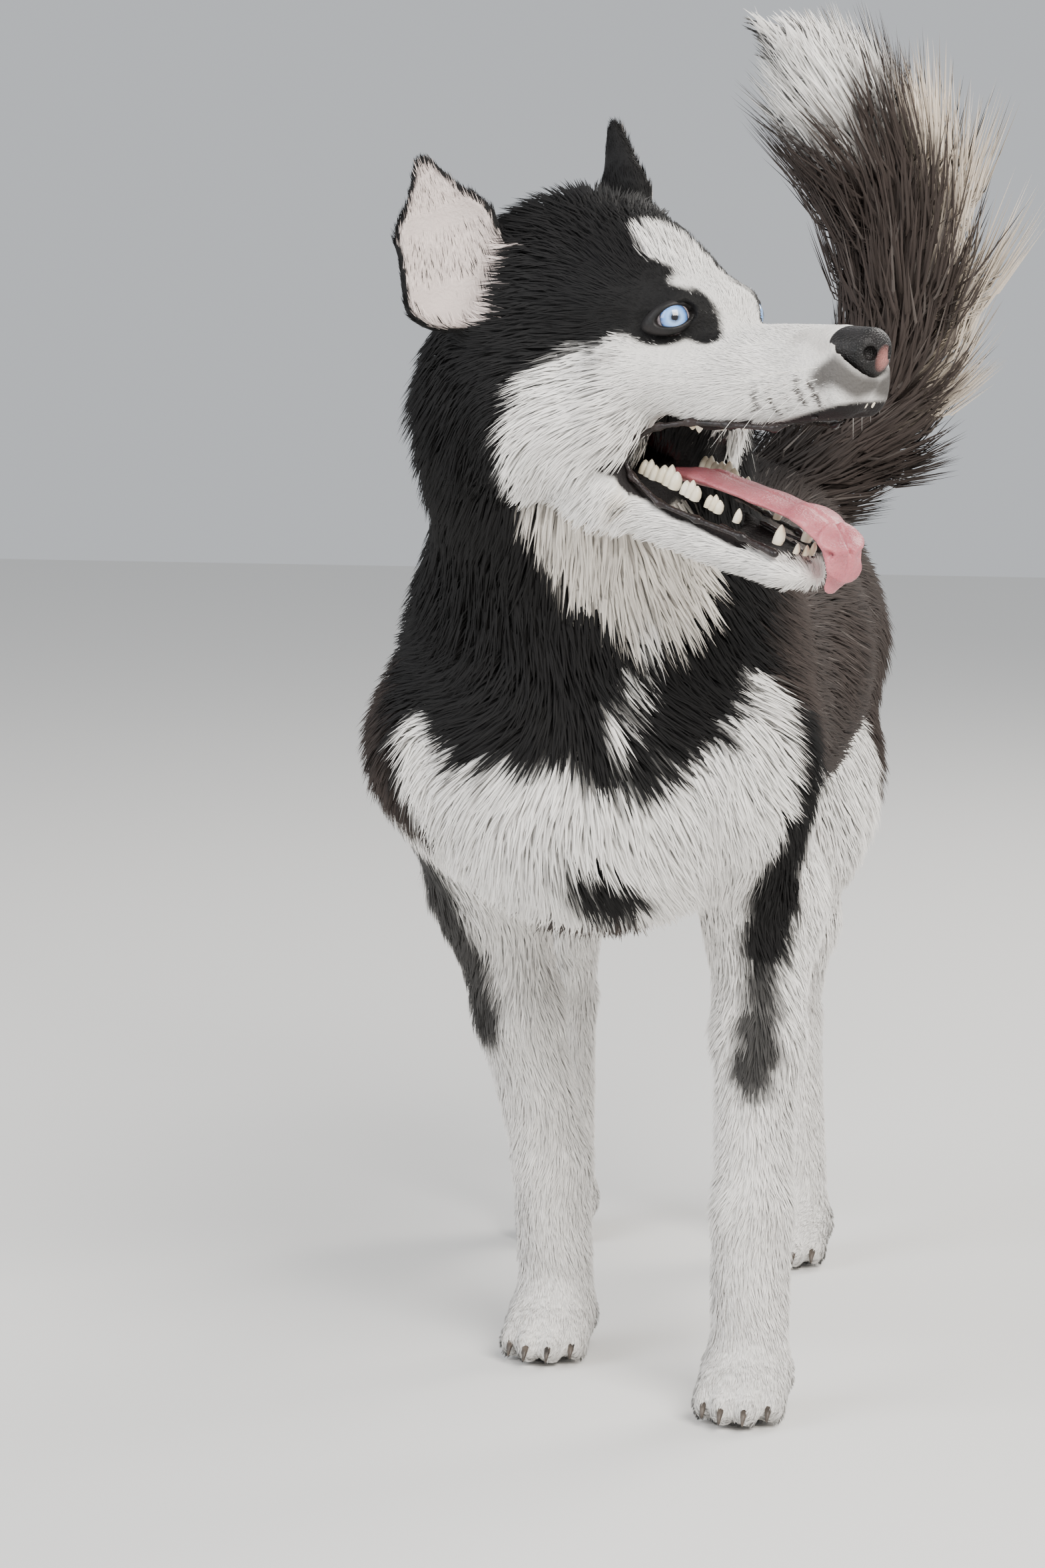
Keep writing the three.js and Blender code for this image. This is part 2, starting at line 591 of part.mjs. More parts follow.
for (const name of Object.keys(SIDES)) {
  const fore = foreleg(name);
  const hind = hindleg(name);
  const legDetail = { sides: 14, rings: 15, capRings: 3, deep: [0, 1, 0] };
  nodes.push(
    { name: `forepaw_${name}`, color: CREAM, roughness: 0.9, form: (grow) => pawForm(FORE_PAWS[name], 29, grow), under: [] },
    { name: `hindpaw_${name}`, color: CREAM, roughness: 0.9, form: (grow) => pawForm(HIND_PAWS[name], 27, grow), under: [] },
    {
      name: `foreleg_${name}`,
      color: CREAM,
      roughness: 0.9,
      form: (grow) => loft(fore.flesh, fore.core, legDetail, grow),
      under: [`forepaw_${name}`, 'neck'],
    },
    {
      name: `hindleg_${name}`,
      color: CREAM,
      roughness: 0.9,
      form: (grow) => loft(hind.flesh, hind.core, legDetail, grow),
      under: [`hindpaw_${name}`],
    },
  );
  legNodes.push(`foreleg_${name}`, `hindleg_${name}`);
}
nodes.push(
  { name: 'torso', color: DARK, roughness: 0.9, form: torsoForm, under: [...legNodes, 'neck'] },
  { name: 'tail', color: DARK, roughness: 0.95, form: tailForm, under: ['torso'] },
);

const grown = new Map();

function grownForm(name) {
  if (!grown.has(name)) grown.set(name, nodes.find((node) => node.name === name).form(GAP));
  return grown.get(name);
}

const husky = new THREE.Group();
for (const { name, color, roughness, form, under } of nodes) {
  const trimmed = under.reduce((solid, other) => solid.subtract(grownForm(other)), form(0));
  const geometry = toGeometry(largest(trimmed));
  const mesh = new THREE.Mesh(geometry, new THREE.MeshStandardMaterial({ color, roughness, metalness: 0 }));
  mesh.name = name;
  husky.add(mesh);
}

// The origin goes to the middle of the footprint of the whole animal
const reach = new THREE.Box3().setFromObject(husky);
const middle = reach.getCenter(new THREE.Vector3());
husky.position.set(-middle.x, -middle.y, 0);
husky.updateMatrixWorld(true);

export default husky;
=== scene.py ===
import math

import bpy
import numpy as np
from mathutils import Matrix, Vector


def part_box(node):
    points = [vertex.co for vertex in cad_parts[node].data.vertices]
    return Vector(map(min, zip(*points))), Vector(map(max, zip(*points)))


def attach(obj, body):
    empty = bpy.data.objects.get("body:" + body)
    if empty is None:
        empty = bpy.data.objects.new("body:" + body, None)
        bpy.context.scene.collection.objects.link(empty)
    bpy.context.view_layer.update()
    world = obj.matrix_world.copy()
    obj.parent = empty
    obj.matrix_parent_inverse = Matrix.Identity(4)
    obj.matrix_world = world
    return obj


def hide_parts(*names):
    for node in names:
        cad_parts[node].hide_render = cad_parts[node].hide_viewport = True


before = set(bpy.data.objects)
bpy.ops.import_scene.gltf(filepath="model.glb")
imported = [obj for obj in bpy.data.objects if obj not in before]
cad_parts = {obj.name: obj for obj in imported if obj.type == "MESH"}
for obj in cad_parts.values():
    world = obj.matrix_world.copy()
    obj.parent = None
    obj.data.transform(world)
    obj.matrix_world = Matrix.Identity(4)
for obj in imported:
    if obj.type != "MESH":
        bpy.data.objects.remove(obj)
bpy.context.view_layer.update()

import openvdb
from mathutils import Matrix, Vector
from mathutils.kdtree import KDTree

# Where the animal stands. All four paws rest flat on the floor, each given by its middle and half width.
# Sizes are millimetres from the body's middle line, and the frame's left forepaw says where that line lies.
PAWS = {
    "forepaw_left": ((92, -62), 29),
    "forepaw_right": ((-52, 62), 29),
    "hindpaw_left": ((48, 357), 27),
    "hindpaw_right": ((-122, 401), 27),
}
PAW_HEEL = 40.0
SIDES = {"left": 1, "right": -1}
BODY = Matrix.Identity(4)
BACK = (0, 1, 0)
paw_low, paw_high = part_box("forepaw_left")
paw_x, paw_y = PAWS["forepaw_left"][0]
SHIFT = np.array([
    (paw_low[0] + paw_high[0]) / 2 - paw_x / 1000,
    paw_high[1] - (paw_y + PAW_HEEL) / 1000,
    0.0,
])


def metres(points):
    return np.asarray(points, float) / 1000 + SHIFT


def place_of(place, point):
    return np.array(place @ Vector(point))


def way_of(place, direction):
    return np.array((place.to_3x3() @ Vector(direction)).normalized())


# Trunk and neck: ribs, belly, shoulders and rump are one flesh under deep fur, and a thick neck rises from
# them to the head. Flesh is made of bars, oval rods with round ends that are blended into the ones before.
# Each bar says how deep its fur stands, how long and wide the hairs are, and the way they lie.
class Bar:
    """A rod from start to end. Its half sizes at both ends are (across, deep), and tips round its ends."""

    def __init__(self, start, end, first, last, place=BODY, deep=(0, 0, 1), blend=20, tips=None,
                 coat=3.0, hair=(10, 1.12), lie=(0, 1, -0.3), stand=None):
        self.start = place_of(place, start)
        self.end = place_of(place, end)
        self.length = float(np.linalg.norm(self.end - self.start))
        self.axis = (self.end - self.start) / self.length
        side = np.cross(self.axis, way_of(place, deep))
        self.side = side / np.linalg.norm(side)
        self.deep = np.cross(self.side, self.axis)
        self.first, self.last = np.array(first, float), np.array(last, float)
        self.tips = tips or (sum(first) / 2, sum(last) / 2)
        self.blend, self.coat, self.hair = blend, coat, hair
        self.stand = coat if stand is None else stand
        self.lie = way_of(place, lie)

    def distance(self, x, y, z, thinner=0.0):
        qx, qy, qz = x - self.start[0], y - self.start[1], z - self.start[2]
        along = qx * self.axis[0] + qy * self.axis[1] + qz * self.axis[2]
        across = qx * self.side[0] + qy * self.side[1] + qz * self.side[2]
        deep = qx * self.deep[0] + qy * self.deep[1] + qz * self.deep[2]
        share = np.clip(along / self.length, 0, 1)
        past = along - share * self.length
        half_across = self.first[0] + (self.last[0] - self.first[0]) * share - thinner
        half_deep = self.first[1] + (self.last[1] - self.first[1]) * share - thinner
        cap = self.tips[0] + (self.tips[1] - self.tips[0]) * share - thinner
        stretch = np.sqrt((across / half_across) ** 2 + (deep / half_deep) ** 2 + (past / cap) ** 2)
        reach = np.sqrt(across ** 2 + deep ** 2 + past ** 2)
        stretch = np.maximum(stretch, 1e-3)
        return np.maximum(reach - reach / stretch, -np.minimum(half_across, half_deep))

    def limits(self, spare):
        most = max(self.first.max(), self.last.max(), *self.tips) + spare
        return np.minimum(self.start, self.end) - most, np.maximum(self.start, self.end) + most


def soft_min(a, b, width):
    overlap = np.maximum(width - np.abs(a - b), 0) / width
    return np.minimum(a, b) - overlap * overlap * width * 0.25


def soft_max(a, b, width):
    return -soft_min(-a, -b, width)


def trunk_bars():
    bars = [
        Bar((0, -25, 408), (0, 185, 418), (112, 128), (120, 112), blend=30, coat=15, hair=(35, 1.84),
            lie=(0, 1, -0.3)),
        Bar((0, 185, 425), (0, 310, 434), (112, 106), (100, 98), blend=40, coat=15, hair=(35, 1.84),
            lie=(0, 1, -0.3)),
        Bar((0, 300, 442), (0, 372, 438), (98, 94), (82, 78), blend=40, coat=16, hair=(37, 1.84),
            lie=(0, 1, -0.35)),
        Bar((0, -55, 385), (0, -48, 455), (100, 72), (84, 62), deep=(0, -1, 0), blend=40, coat=20,
            hair=(40, 1.74), lie=(0, 0.15, -1)),
    ]
    for side in SIDES.values():
        shoulder = (84, -52, 392) if side > 0 else (-88, -40, 392)
        bars.append(Bar((side * 56, 34, 500), shoulder, (36, 52), (42, 54), deep=BACK, blend=36, coat=15,
                        hair=(32, 1.74), lie=(0, 0.7, -0.8)))
        bars.append(Bar((side * 60, 386, 418), (side * 64, 398, 345), (38, 52), (26, 36), deep=BACK, blend=30,
                        coat=18, hair=(40, 1.84), lie=(0, 0.5, -0.9)))
    bars.append(Bar((0, -28, 470), (2, -96, 590), (104, 112), (90, 92), deep=(0, -1, 0.4), blend=40, coat=22,
                    hair=(42, 1.84), lie=(0, 0.45, -0.87)))
    bars.append(Bar((2, -96, 590), (14, -122, 640), (90, 92), (76, 74), deep=(0, -1, 0.4), blend=36, coat=18,
                    hair=(34, 1.64), lie=(-0.1, 0.45, -0.87)))
    return bars


BODY_BARS = trunk_bars()
NECK_BARS = BODY_BARS[-2:]

# Forelegs: straight columns of bone and sinew under ever shorter fur, jointed at elbow, wrist and ankle.
# They hang from the shoulders, and the left one stands forward of the right, as in a slow step.
ELBOW = 300
WRIST = 120


def foreleg_bars(name):
    left = name == "left"
    shoulder = (84, -52, 388) if left else (-88, -40, 388)
    elbow = np.array((91, 2, ELBOW) if left else (-84, 40, ELBOW))
    wrist = np.array((92, -34, WRIST) if left else (-55, 84, WRIST))
    paw, _ = PAWS[f"forepaw_{name}"]
    middle = elbow * 0.55 + wrist * 0.45
    ankle = (paw[0], paw[1] + 22, 46)
    return [
        Bar(shoulder, elbow, (41, 52), (34, 42), deep=BACK, blend=30, coat=9, hair=(26, 1.23),
            lie=(0, 0.35, -0.9)),
        Bar(elbow, middle, (34, 41), (28, 30), deep=BACK, blend=22, coat=6, hair=(17, 1.52),
            lie=(0, 0.2, -1)),
        Bar(middle, wrist, (28, 30), (25, 26), deep=BACK, blend=12, coat=4.5, hair=(13, 1.36),
            lie=(0, 0.1, -1)),
        Bar(wrist, ankle, (25.5, 26), (25, 23), deep=BACK, blend=10, coat=3.5, hair=(10, 1.2),
            lie=(0, -0.1, -1)),
    ]


# Hind legs: a broad thigh, a lean shank and an upright pastern of bone and sinew, bent at knee and hock.
# They hang from the hips in the rump, with long fur on the thigh and short fur below the hock.
STIFLE = 302
HOCK = 158


def hindleg_bars(name):
    left = name == "left"
    side = SIDES[name]
    hip = (58, 350, 425) if left else (-60, 355, 425)
    stifle = np.array((70, 308, STIFLE) if left else (-92, 328, STIFLE))
    hock = np.array((40, 404, HOCK) if left else (-124, 446, HOCK))
    paw, _ = PAWS[f"hindpaw_{name}"]
    haunch = ((hip[0] + stifle[0]) / 2 + side * 4, stifle[1] + 24, STIFLE + 34)
    calf = (stifle + hock) / 2
    ankle = (paw[0], paw[1] + 26, 44)
    return [
        Bar(hip, haunch, (42, 82), (36, 62), deep=BACK, blend=34, coat=14, hair=(32, 1.64),
            lie=(0, 0.5, -0.87)),
        Bar(haunch, stifle, (35, 58), (29, 42), deep=BACK, blend=30, coat=10, hair=(30, 1.33),
            lie=(0, 0.45, -0.9)),
        Bar(stifle, calf, (29, 44), (22, 32), deep=BACK, blend=22, coat=7, hair=(20, 1.6),
            lie=(0, 0.5, -0.87)),
        Bar(calf, hock, (22, 31), (18.5, 23), deep=BACK, blend=14, coat=5, hair=(15, 1.44),
            lie=(0, 0.4, -0.9)),
        Bar(hock, ankle, (20, 24), (21, 22), deep=BACK, blend=10, coat=3, hair=(10, 1.2), lie=(0, 0, -1)),
    ]


for name in SIDES:
    BODY_BARS += foreleg_bars(name) + hindleg_bars(name)

# Paws: an oval pad of flesh at the end of each leg, with four toes under the shortest fur of the body.
# The two middle toes reach furthest. Each toe is given by its place across the pad and its reach ahead.
TOES = ((-0.66, 12), (-0.24, 24), (0.24, 24), (0.66, 12))


def paw_bars(paw, half):
    x, y = paw
    bars = [Bar((x, y + 16, 25), (x, y - 6, 18), (half, 25), (half - 2, 19), tips=(24, 16), blend=10,
                coat=2.5, hair=(8, 1.04), lie=(0, -0.8, -0.5))]
    for across, ahead in TOES:
        bars.append(Bar((x + across * half * 0.8, y + 4, 20), (x + across * half, y - ahead, 11.5),
                        (half * 0.4, 15), (half * 0.34, 12.5), blend=4, coat=2, hair=(6, 0.88),
                        lie=(0, -0.9, -0.35)))
    return bars


for paw, half in PAWS.values():
    BODY_BARS += paw_bars(paw, half)

# Tail: a slim rod of bone and flesh that leaves the rump, swings out to the animal's left, rises, and bends
# in over the back at its tip. Its long hair stands off all round and points up to the tip, so that the brush
# fills a much wider outline.
TAIL_PLACES = (
    (0, 425, 492), (40, 444, 520), (78, 448, 545), (98, 448, 585), (107, 445, 639), (101, 437, 690),
    (90, 428, 720), (74, 413, 756), (58, 400, 782), (43, 390, 801), (23, 379, 815),
)
TAIL_HALVES = (
    (40, 36), (38, 38), (46, 42), (57, 46), (62, 46), (56, 44), (53, 42), (46, 38), (34, 28), (20, 16),
    (6, 6),
)
TAIL_CORE = 15.0


def tail_bars():
    """The rod thins towards the tip, and its hair is as long as the brush is wide there."""
    bars = []
    last = len(TAIL_PLACES) - 1
    for i in range(last):
        way = np.subtract(TAIL_PLACES[i + 1], TAIL_PLACES[i])
        thick = [TAIL_CORE * min(1.0, (last - k + 1) / 5) for k in (i, i + 1)]
        brush = (max(TAIL_HALVES[i]) * 1.1 - thick[0]) * min(1.0, (last - i) / 5 + 0.15)
        bars.append(Bar(TAIL_PLACES[i], TAIL_PLACES[i + 1], (thick[0], thick[0]), (thick[1], thick[1]),
                        deep=BACK, blend=16, coat=0.0, hair=(max(brush, 9) * 2.0, 2.3), lie=way,
                        stand=max(brush, 4)))
    return bars


TAIL_BARS = tail_bars()

# Head: a broad skull with brows, full cheeks and a straight muzzle, of bone under thin flesh and short fur.
# It sits on the end of the neck, turned to the animal's left with the muzzle a little raised.
def turned(axis, degrees, move=(0, 0, 0)):
    return Matrix.Translation(move) @ Matrix.Rotation(math.radians(degrees), 4, axis)


HEAD = turned("Z", 60, (90, -180, 642)) @ turned("X", -8)


def head_bars():
    def bar(start, end, first, last, **more):
        return Bar(start, end, first, last, place=HEAD, **more)
    bars = [
        bar((0, 92, 4), (0, 42, 8), (60, 56), (54, 44), blend=24, coat=7, hair=(17, 1.36), lie=(0, 1, 0)),
        bar((0, 40, 12), (0, -6, 2), (48, 38), (33, 21), blend=20, coat=4.5, hair=(11, 1.12),
            lie=(0, 1, 0.5)),
        bar((0, -16, -28), (0, -100, -35), (28, 24), (21, 22), blend=14, tips=(24, 20), coat=1.8,
            hair=(5, 0.72), lie=(0, 1, 0)),
    ]
    for side in SIDES.values():
        bars += [
            bar((side * 24, 16, 12), (side * 25, -4, 8), (15, 15), (13, 12), blend=12, coat=3.5,
                hair=(9, 0.96), lie=(side * 0.4, 0.9, 0.5)),
            bar((side * 42, 86, -42), (side * 39, 38, -40), (35, 44), (28, 34), blend=26, coat=10,
                hair=(28, 1.13), lie=(side * 0.2, 0.85, -0.5)),
            bar((side * 36, 26, -26), (side * 20, -36, -38), (22, 22), (14, 20), blend=16, coat=3.5,
                hair=(11, 1.04), lie=(side * 0.25, 0.95, -0.1)),
            bar((side * 20, -16, -46), (side * 10, -98, -51), (14, 17), (12, 15), blend=12, coat=2,
                hair=(6, 0.8), lie=(side * 0.1, 0.9, -0.4)),
            bar((side * 38, 62, -56), (side * 37, 56, -92), (18, 26), (18, 26), deep=BACK, blend=18, coat=4,
                hair=(13, 1.2), lie=(side * 0.2, 0.8, -0.6)),
        ]
    return bars


HEAD_BARS = head_bars()

# Lower jaw: a keel of bone with a shelf of flesh along each side and a rounded chin, under short fur.
# It hangs wide open from its hinge below the cheeks.
JAW = HEAD @ turned("X", 30, (0, 77, -40))


def jaw_bars():
    bars = [Bar((0, -14, -44), (0, -150, -27), (34, 17), (13, 9), place=JAW, blend=14, coat=4, hair=(13, 1.2),
                lie=(0, 0.9, -0.4))]
    for side in SIDES.values():
        bars.append(Bar((side * 33, -30, -38), (side * 12, -158, -27), (13, 21), (11, 9), place=JAW, blend=12,
                        coat=2.5, hair=(9, 0.96), lie=(side * 0.1, 0.9, -0.4)))
    bars.append(Bar((0, -148, -26), (0, -164, -25), (16, 9), (13, 7), place=JAW, blend=8, coat=1.8,
                    hair=(6, 0.8), lie=(0, 0.9, -0.4)))
    return bars


JAW_BARS = jaw_bars()

# Mouth: bare wet hollows between skull and jaw. They are cut from the flesh as the roof, the space between
# the tooth rows, the open corners and the trough of the jaw, and they end in the throat, painted black as
# shade.
MOUTH = [
    Bar((0, 52, -72), (0, -20, -72), (25, 15), (20, 13), place=HEAD),
    Bar((0, -20, -72), (0, -94, -70), (20, 13), (10, 9), place=HEAD),
    Bar((0, 24, -78), (0, -34, -92), (70, 14), (70, 30), place=HEAD, tips=(14, 30)),
    Bar((0, 52, -80), (0, 10, -92), (25, 20), (26, 26), place=HEAD),
    Bar((0, -10, -12), (0, -146, -12), (25, 15), (10, 7), place=JAW),
]
THROAT = [Bar((0, 36, -82), (0, 76, -86), (37, 19), (38, 19), place=HEAD, tips=(14, 8))]

# Ears: upright three-cornered shells of gristle with fur outside and a thin pale lining in their cup.
# They stand on the back of the skull. The left one opens to the side and the right one half ahead.
EARS = {
    "left": {"root": (50, 92, 44), "tip": (54, 100, 124), "half": 29, "open": (0.95, -0.3, -0.1)},
    "right": {"root": (-57, 124, 34), "tip": (-66, 138, 108), "half": 36, "open": (-0.73, -0.68, 0)},
}
EAR_DEPTH = 13


def ear_bars(ear, inset, coat):
    low = np.add(ear["root"], np.multiply(ear["open"], inset))
    high = np.add(ear["tip"], np.multiply(ear["open"], inset))
    middle, top = low * 0.55 + high * 0.45, low * 0.1 + high * 0.9
    wide, deep = ear["half"] - inset * 0.6, EAR_DEPTH - inset * 0.25
    lie = np.subtract(ear["tip"], ear["root"])
    return [
        Bar(low, middle, (wide, deep), (wide * 0.8, deep * 0.8), place=HEAD, deep=ear["open"], blend=12,
            coat=coat, hair=(9, 0.96), lie=lie),
        Bar(middle, top, (wide * 0.8, deep * 0.8), (8, 5), place=HEAD, deep=ear["open"], blend=6, coat=coat,
            hair=(8, 0.8), lie=lie),
    ]


EAR_SHELLS = {name: ear_bars(ear, 0, 1.0) for name, ear in EARS.items()}
EAR_CUPS = {name: ear_bars(ear, EAR_DEPTH * 0.62, 0.0) for name, ear in EARS.items()}

# Skin: one hide over the whole animal, inside the solids by the depth of the coat. The body's is cast on a
# coarse grid of voxels and the head's on a fine one, and they meet out of sight, deep in the neck's fur.
# The mouth, the cups of the ears, the eye sockets and the bed of the nose are cut from the head's.
NOSE = [Bar((0, -98, -27), (0, -112, -31), (20, 15), (17, 16.5), place=HEAD, tips=(10, 12), blend=4)]
NOSE_BED = [Bar((0, -104, -29), (0, -150, -34), (17, 14.5), (17, 14.5), place=HEAD, tips=(10, 12))]


class Block:
    """A box of voxels that bars are added to and cut from, turned into a closed mesh at the end."""

    def __init__(self, low, high, voxel):
        self.low, self.voxel = np.array(low, float), voxel
        self.size = np.ceil((np.array(high) - self.low) / voxel).astype(int) + 1
        self.field = np.full(self.size, 30.0, np.float32)

    def part(self, low, high):
        first = np.clip(np.floor((low - self.low) / self.voxel).astype(int), 0, self.size)
        last = np.clip(np.ceil((high - self.low) / self.voxel).astype(int) + 1, 0, self.size)
        if (last <= first).any():
            return None, None
        axes = []
        for i in range(3):
            steps = np.arange(first[i], last[i])
            axes.append((self.low[i] + self.voxel * steps).astype(np.float32))
        return tuple(slice(a, b) for a, b in zip(first, last)), np.ix_(*axes)

    def add(self, bars):
        for bar in bars:
            where, axes = self.part(*bar.limits(bar.blend + 4 * self.voxel))
            if where is not None:
                near = bar.distance(*axes, bar.coat)
                self.field[where] = soft_min(self.field[where], near.astype(np.float32), bar.blend)

    def cut(self, bars, soft):
        for bar in bars:
            where, axes = self.part(*bar.limits(soft + 4 * self.voxel))
            if where is not None:
                near = bar.distance(*axes)
                self.field[where] = soft_max(self.field[where], -near.astype(np.float32), soft)

    def keep(self, point, normal):
        """Keeps what lies behind a plane."""
        axes = np.ix_(*[self.low[i] + self.voxel * np.arange(self.size[i]) for i in range(3)])
        beyond = sum((axes[i] - point[i]) * normal[i] for i in range(3))
        self.field = np.maximum(self.field, beyond.astype(np.float32))

    def mesh(self):
        grid = openvdb.FloatGrid(30.0)
        for axis in range(3):
            for end in (0, -1):
                edge = [slice(None)] * 3
                edge[axis] = end
                self.field[tuple(edge)] = np.maximum(self.field[tuple(edge)], self.voxel)
        grid.copyFromArray(self.field)
        points, _, quads = grid.convertToPolygons(isovalue=0.0, adaptivity=0.0)
        points = points.astype(np.float64) * self.voxel + self.low
        return points, quads.astype(np.int32)


def new_object(name, points, faces):
    """faces is one array per polygon size, and points are in metres."""
    mesh = bpy.data.meshes.new(name)
    mesh.vertices.add(len(points))
    mesh.vertices.foreach_set("co", np.ascontiguousarray(points, np.float32).ravel())
    loops = np.concatenate([f.ravel() for f in faces])
    totals = np.concatenate([np.full(len(f), f.shape[1]) for f in faces])
    starts = np.concatenate([[0], np.cumsum(totals)[:-1]])
    mesh.loops.add(len(loops))
    mesh.loops.foreach_set("vertex_index", loops.astype(np.int32))
    mesh.polygons.add(len(totals))
    mesh.polygons.foreach_set("loop_start", starts.astype(np.int32))
    mesh.polygons.foreach_set("loop_total", totals.astype(np.int32))
    mesh.polygons.foreach_set("use_smooth", np.ones(len(totals), bool))
    mesh.update(calc_edges=True)
    made = bpy.data.objects.new(name, mesh)
    bpy.context.scene.collection.objects.link(made)
    return made


NECK_CUT = np.array([6.0, -92.0, 590.0])
NECK_WAY = np.array([0.15, -0.45, 0.88]) / np.linalg.norm([0.15, -0.45, 0.88])
BODY_VOXEL = 3.8
HEAD_VOXEL = 1.55
body_block = Block((-190, -170, -4), (200, 520, 840), BODY_VOXEL)
body_block.add(BODY_BARS)
body_block.add(TAIL_BARS)
body_block.keep(NECK_CUT + 6 * NECK_WAY, NECK_WAY)
body_block.keep((0, 0, 1.0), (0, 0, -1))
body_points, body_quads = body_block.mesh()

head_block = Block((-110, -330, 440), (260, 40, 800), HEAD_VOXEL)
head_block.add(HEAD_BARS)
head_block.add(NECK_BARS)
head_block.add(JAW_BARS)
for name in SIDES:
    head_block.add(EAR_SHELLS[name])
    head_block.cut(EAR_CUPS[name], 2.0)
head_block.cut(MOUTH, 4.0)
head_block.cut(NOSE_BED, 1.5)
EYES = {}
for name, side in SIDES.items():
    eye_low, eye_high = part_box(f"eye_{name}")
    outward = way_of(HEAD, (side * 0.56, -0.82, 0.06))
    across = np.cross(way_of(HEAD, (side * 0.2, 0.1, 1)), outward)
    across /= np.linalg.norm(across)
    centre = ((np.array(eye_low) + np.array(eye_high)) / 2 - SHIFT) * 1000
    EYES[name] = {"centre": centre, "outward": outward, "across": across, "up": np.cross(outward, across)}
    rim = centre + outward * 9.5
    socket = Bar(rim - across * 6, rim + across * 6, (6.0, 8.0), (6.0, 8.0), deep=outward, tips=(6, 6))
    head_block.cut([socket], 0.8)
head_block.keep(NECK_CUT, -NECK_WAY)
head_points, head_quads = head_block.mesh()

skin_body = new_object("skin_body", metres(body_points), [body_quads])
skin_head = new_object("skin_head", metres(head_points), [head_quads])
for skin in (skin_body, skin_head):
    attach(skin, "root")
limbs = [f"{limb}_{side}" for side in SIDES for limb in ("foreleg", "hindleg", "forepaw", "hindpaw")]
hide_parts("torso", "neck", "tail", *limbs)
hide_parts("head", "lower_jaw", "ear_left", "ear_right")

# Markings: the colours of skin and hair, black on the head, brown on the back, and white to cream below.
# Each patch is a soft stroke along its real path with (path, half width, softness, colour, strength), laid
# over the ones before it. The two sides of the head are marked alike.
BLACK = np.array((0.0065, 0.006, 0.006))
BROWN = np.array((0.040, 0.030, 0.026))
GREY = np.array((0.26, 0.23, 0.21))
WHITE = np.array((0.86, 0.83, 0.79))
CREAM = np.array((0.70, 0.60, 0.49))
THROAT_WHITE = np.array((0.78, 0.72, 0.64))
EAR_LINING = np.array((0.78, 0.66, 0.61))
HEAD_MARKS = [
    (((-58, 52, -45), (-52, 70, -72), (-30, 86, -105), (0, 92, -120)), 36, 7, WHITE, 1),
    (((-45, 20, -34), (-25, -40, -30), (0, -112, -36)), 34, 6, WHITE, 1),
    (((0, -30, 4), (0, -12, 26), (0, 20, 47)), 21, 5, WHITE, 1),
    (((-28, -16, 22), (-16, -4, 32)), 9, 5, WHITE, 1),
    (((-54, 44, 14), (-38, 14, 5), (-30, 0, -1)), 15, 4, BLACK, 1),
    (((-30, 0, -3), (-22, -18, -5)), 11, 4, BLACK, 1),
    (((-57, 34, -20), (-50, 24, -22)), 5, 6, GREY, 0.5),
    (((-15, -78, -16), (-16, -100, -24)), 6, 9, GREY, 0.4),
    (((-19, -98, -40), (-12, -114, -50), (0, -123, -54)), 9, 9, GREY * 0.2, 0.92),
    (((0, 10, 41), (0, 34, 52)), 3, 5, GREY, 0.7),
]
for row in range(3):
    for k in range(6):
        x, y, z = -25 + k, -52 - 9 * k, -44 - 5 * row
        HEAD_MARKS.append((((x, y, z), (x, y - 0.5, z)), 2.3, 1.8, GREY * 0.3, 1))
JAW_MARKS = [(((0, 10, -50), (0, -150, -36)), 60, 6, WHITE, 1)]
LEFT_LEG = ((90, -34, 335), (92, -34, 120), (92, -62, 0))
RIGHT_LEG = ((-86, -8, 335), (-55, 84, 120), (-52, 62, 0))
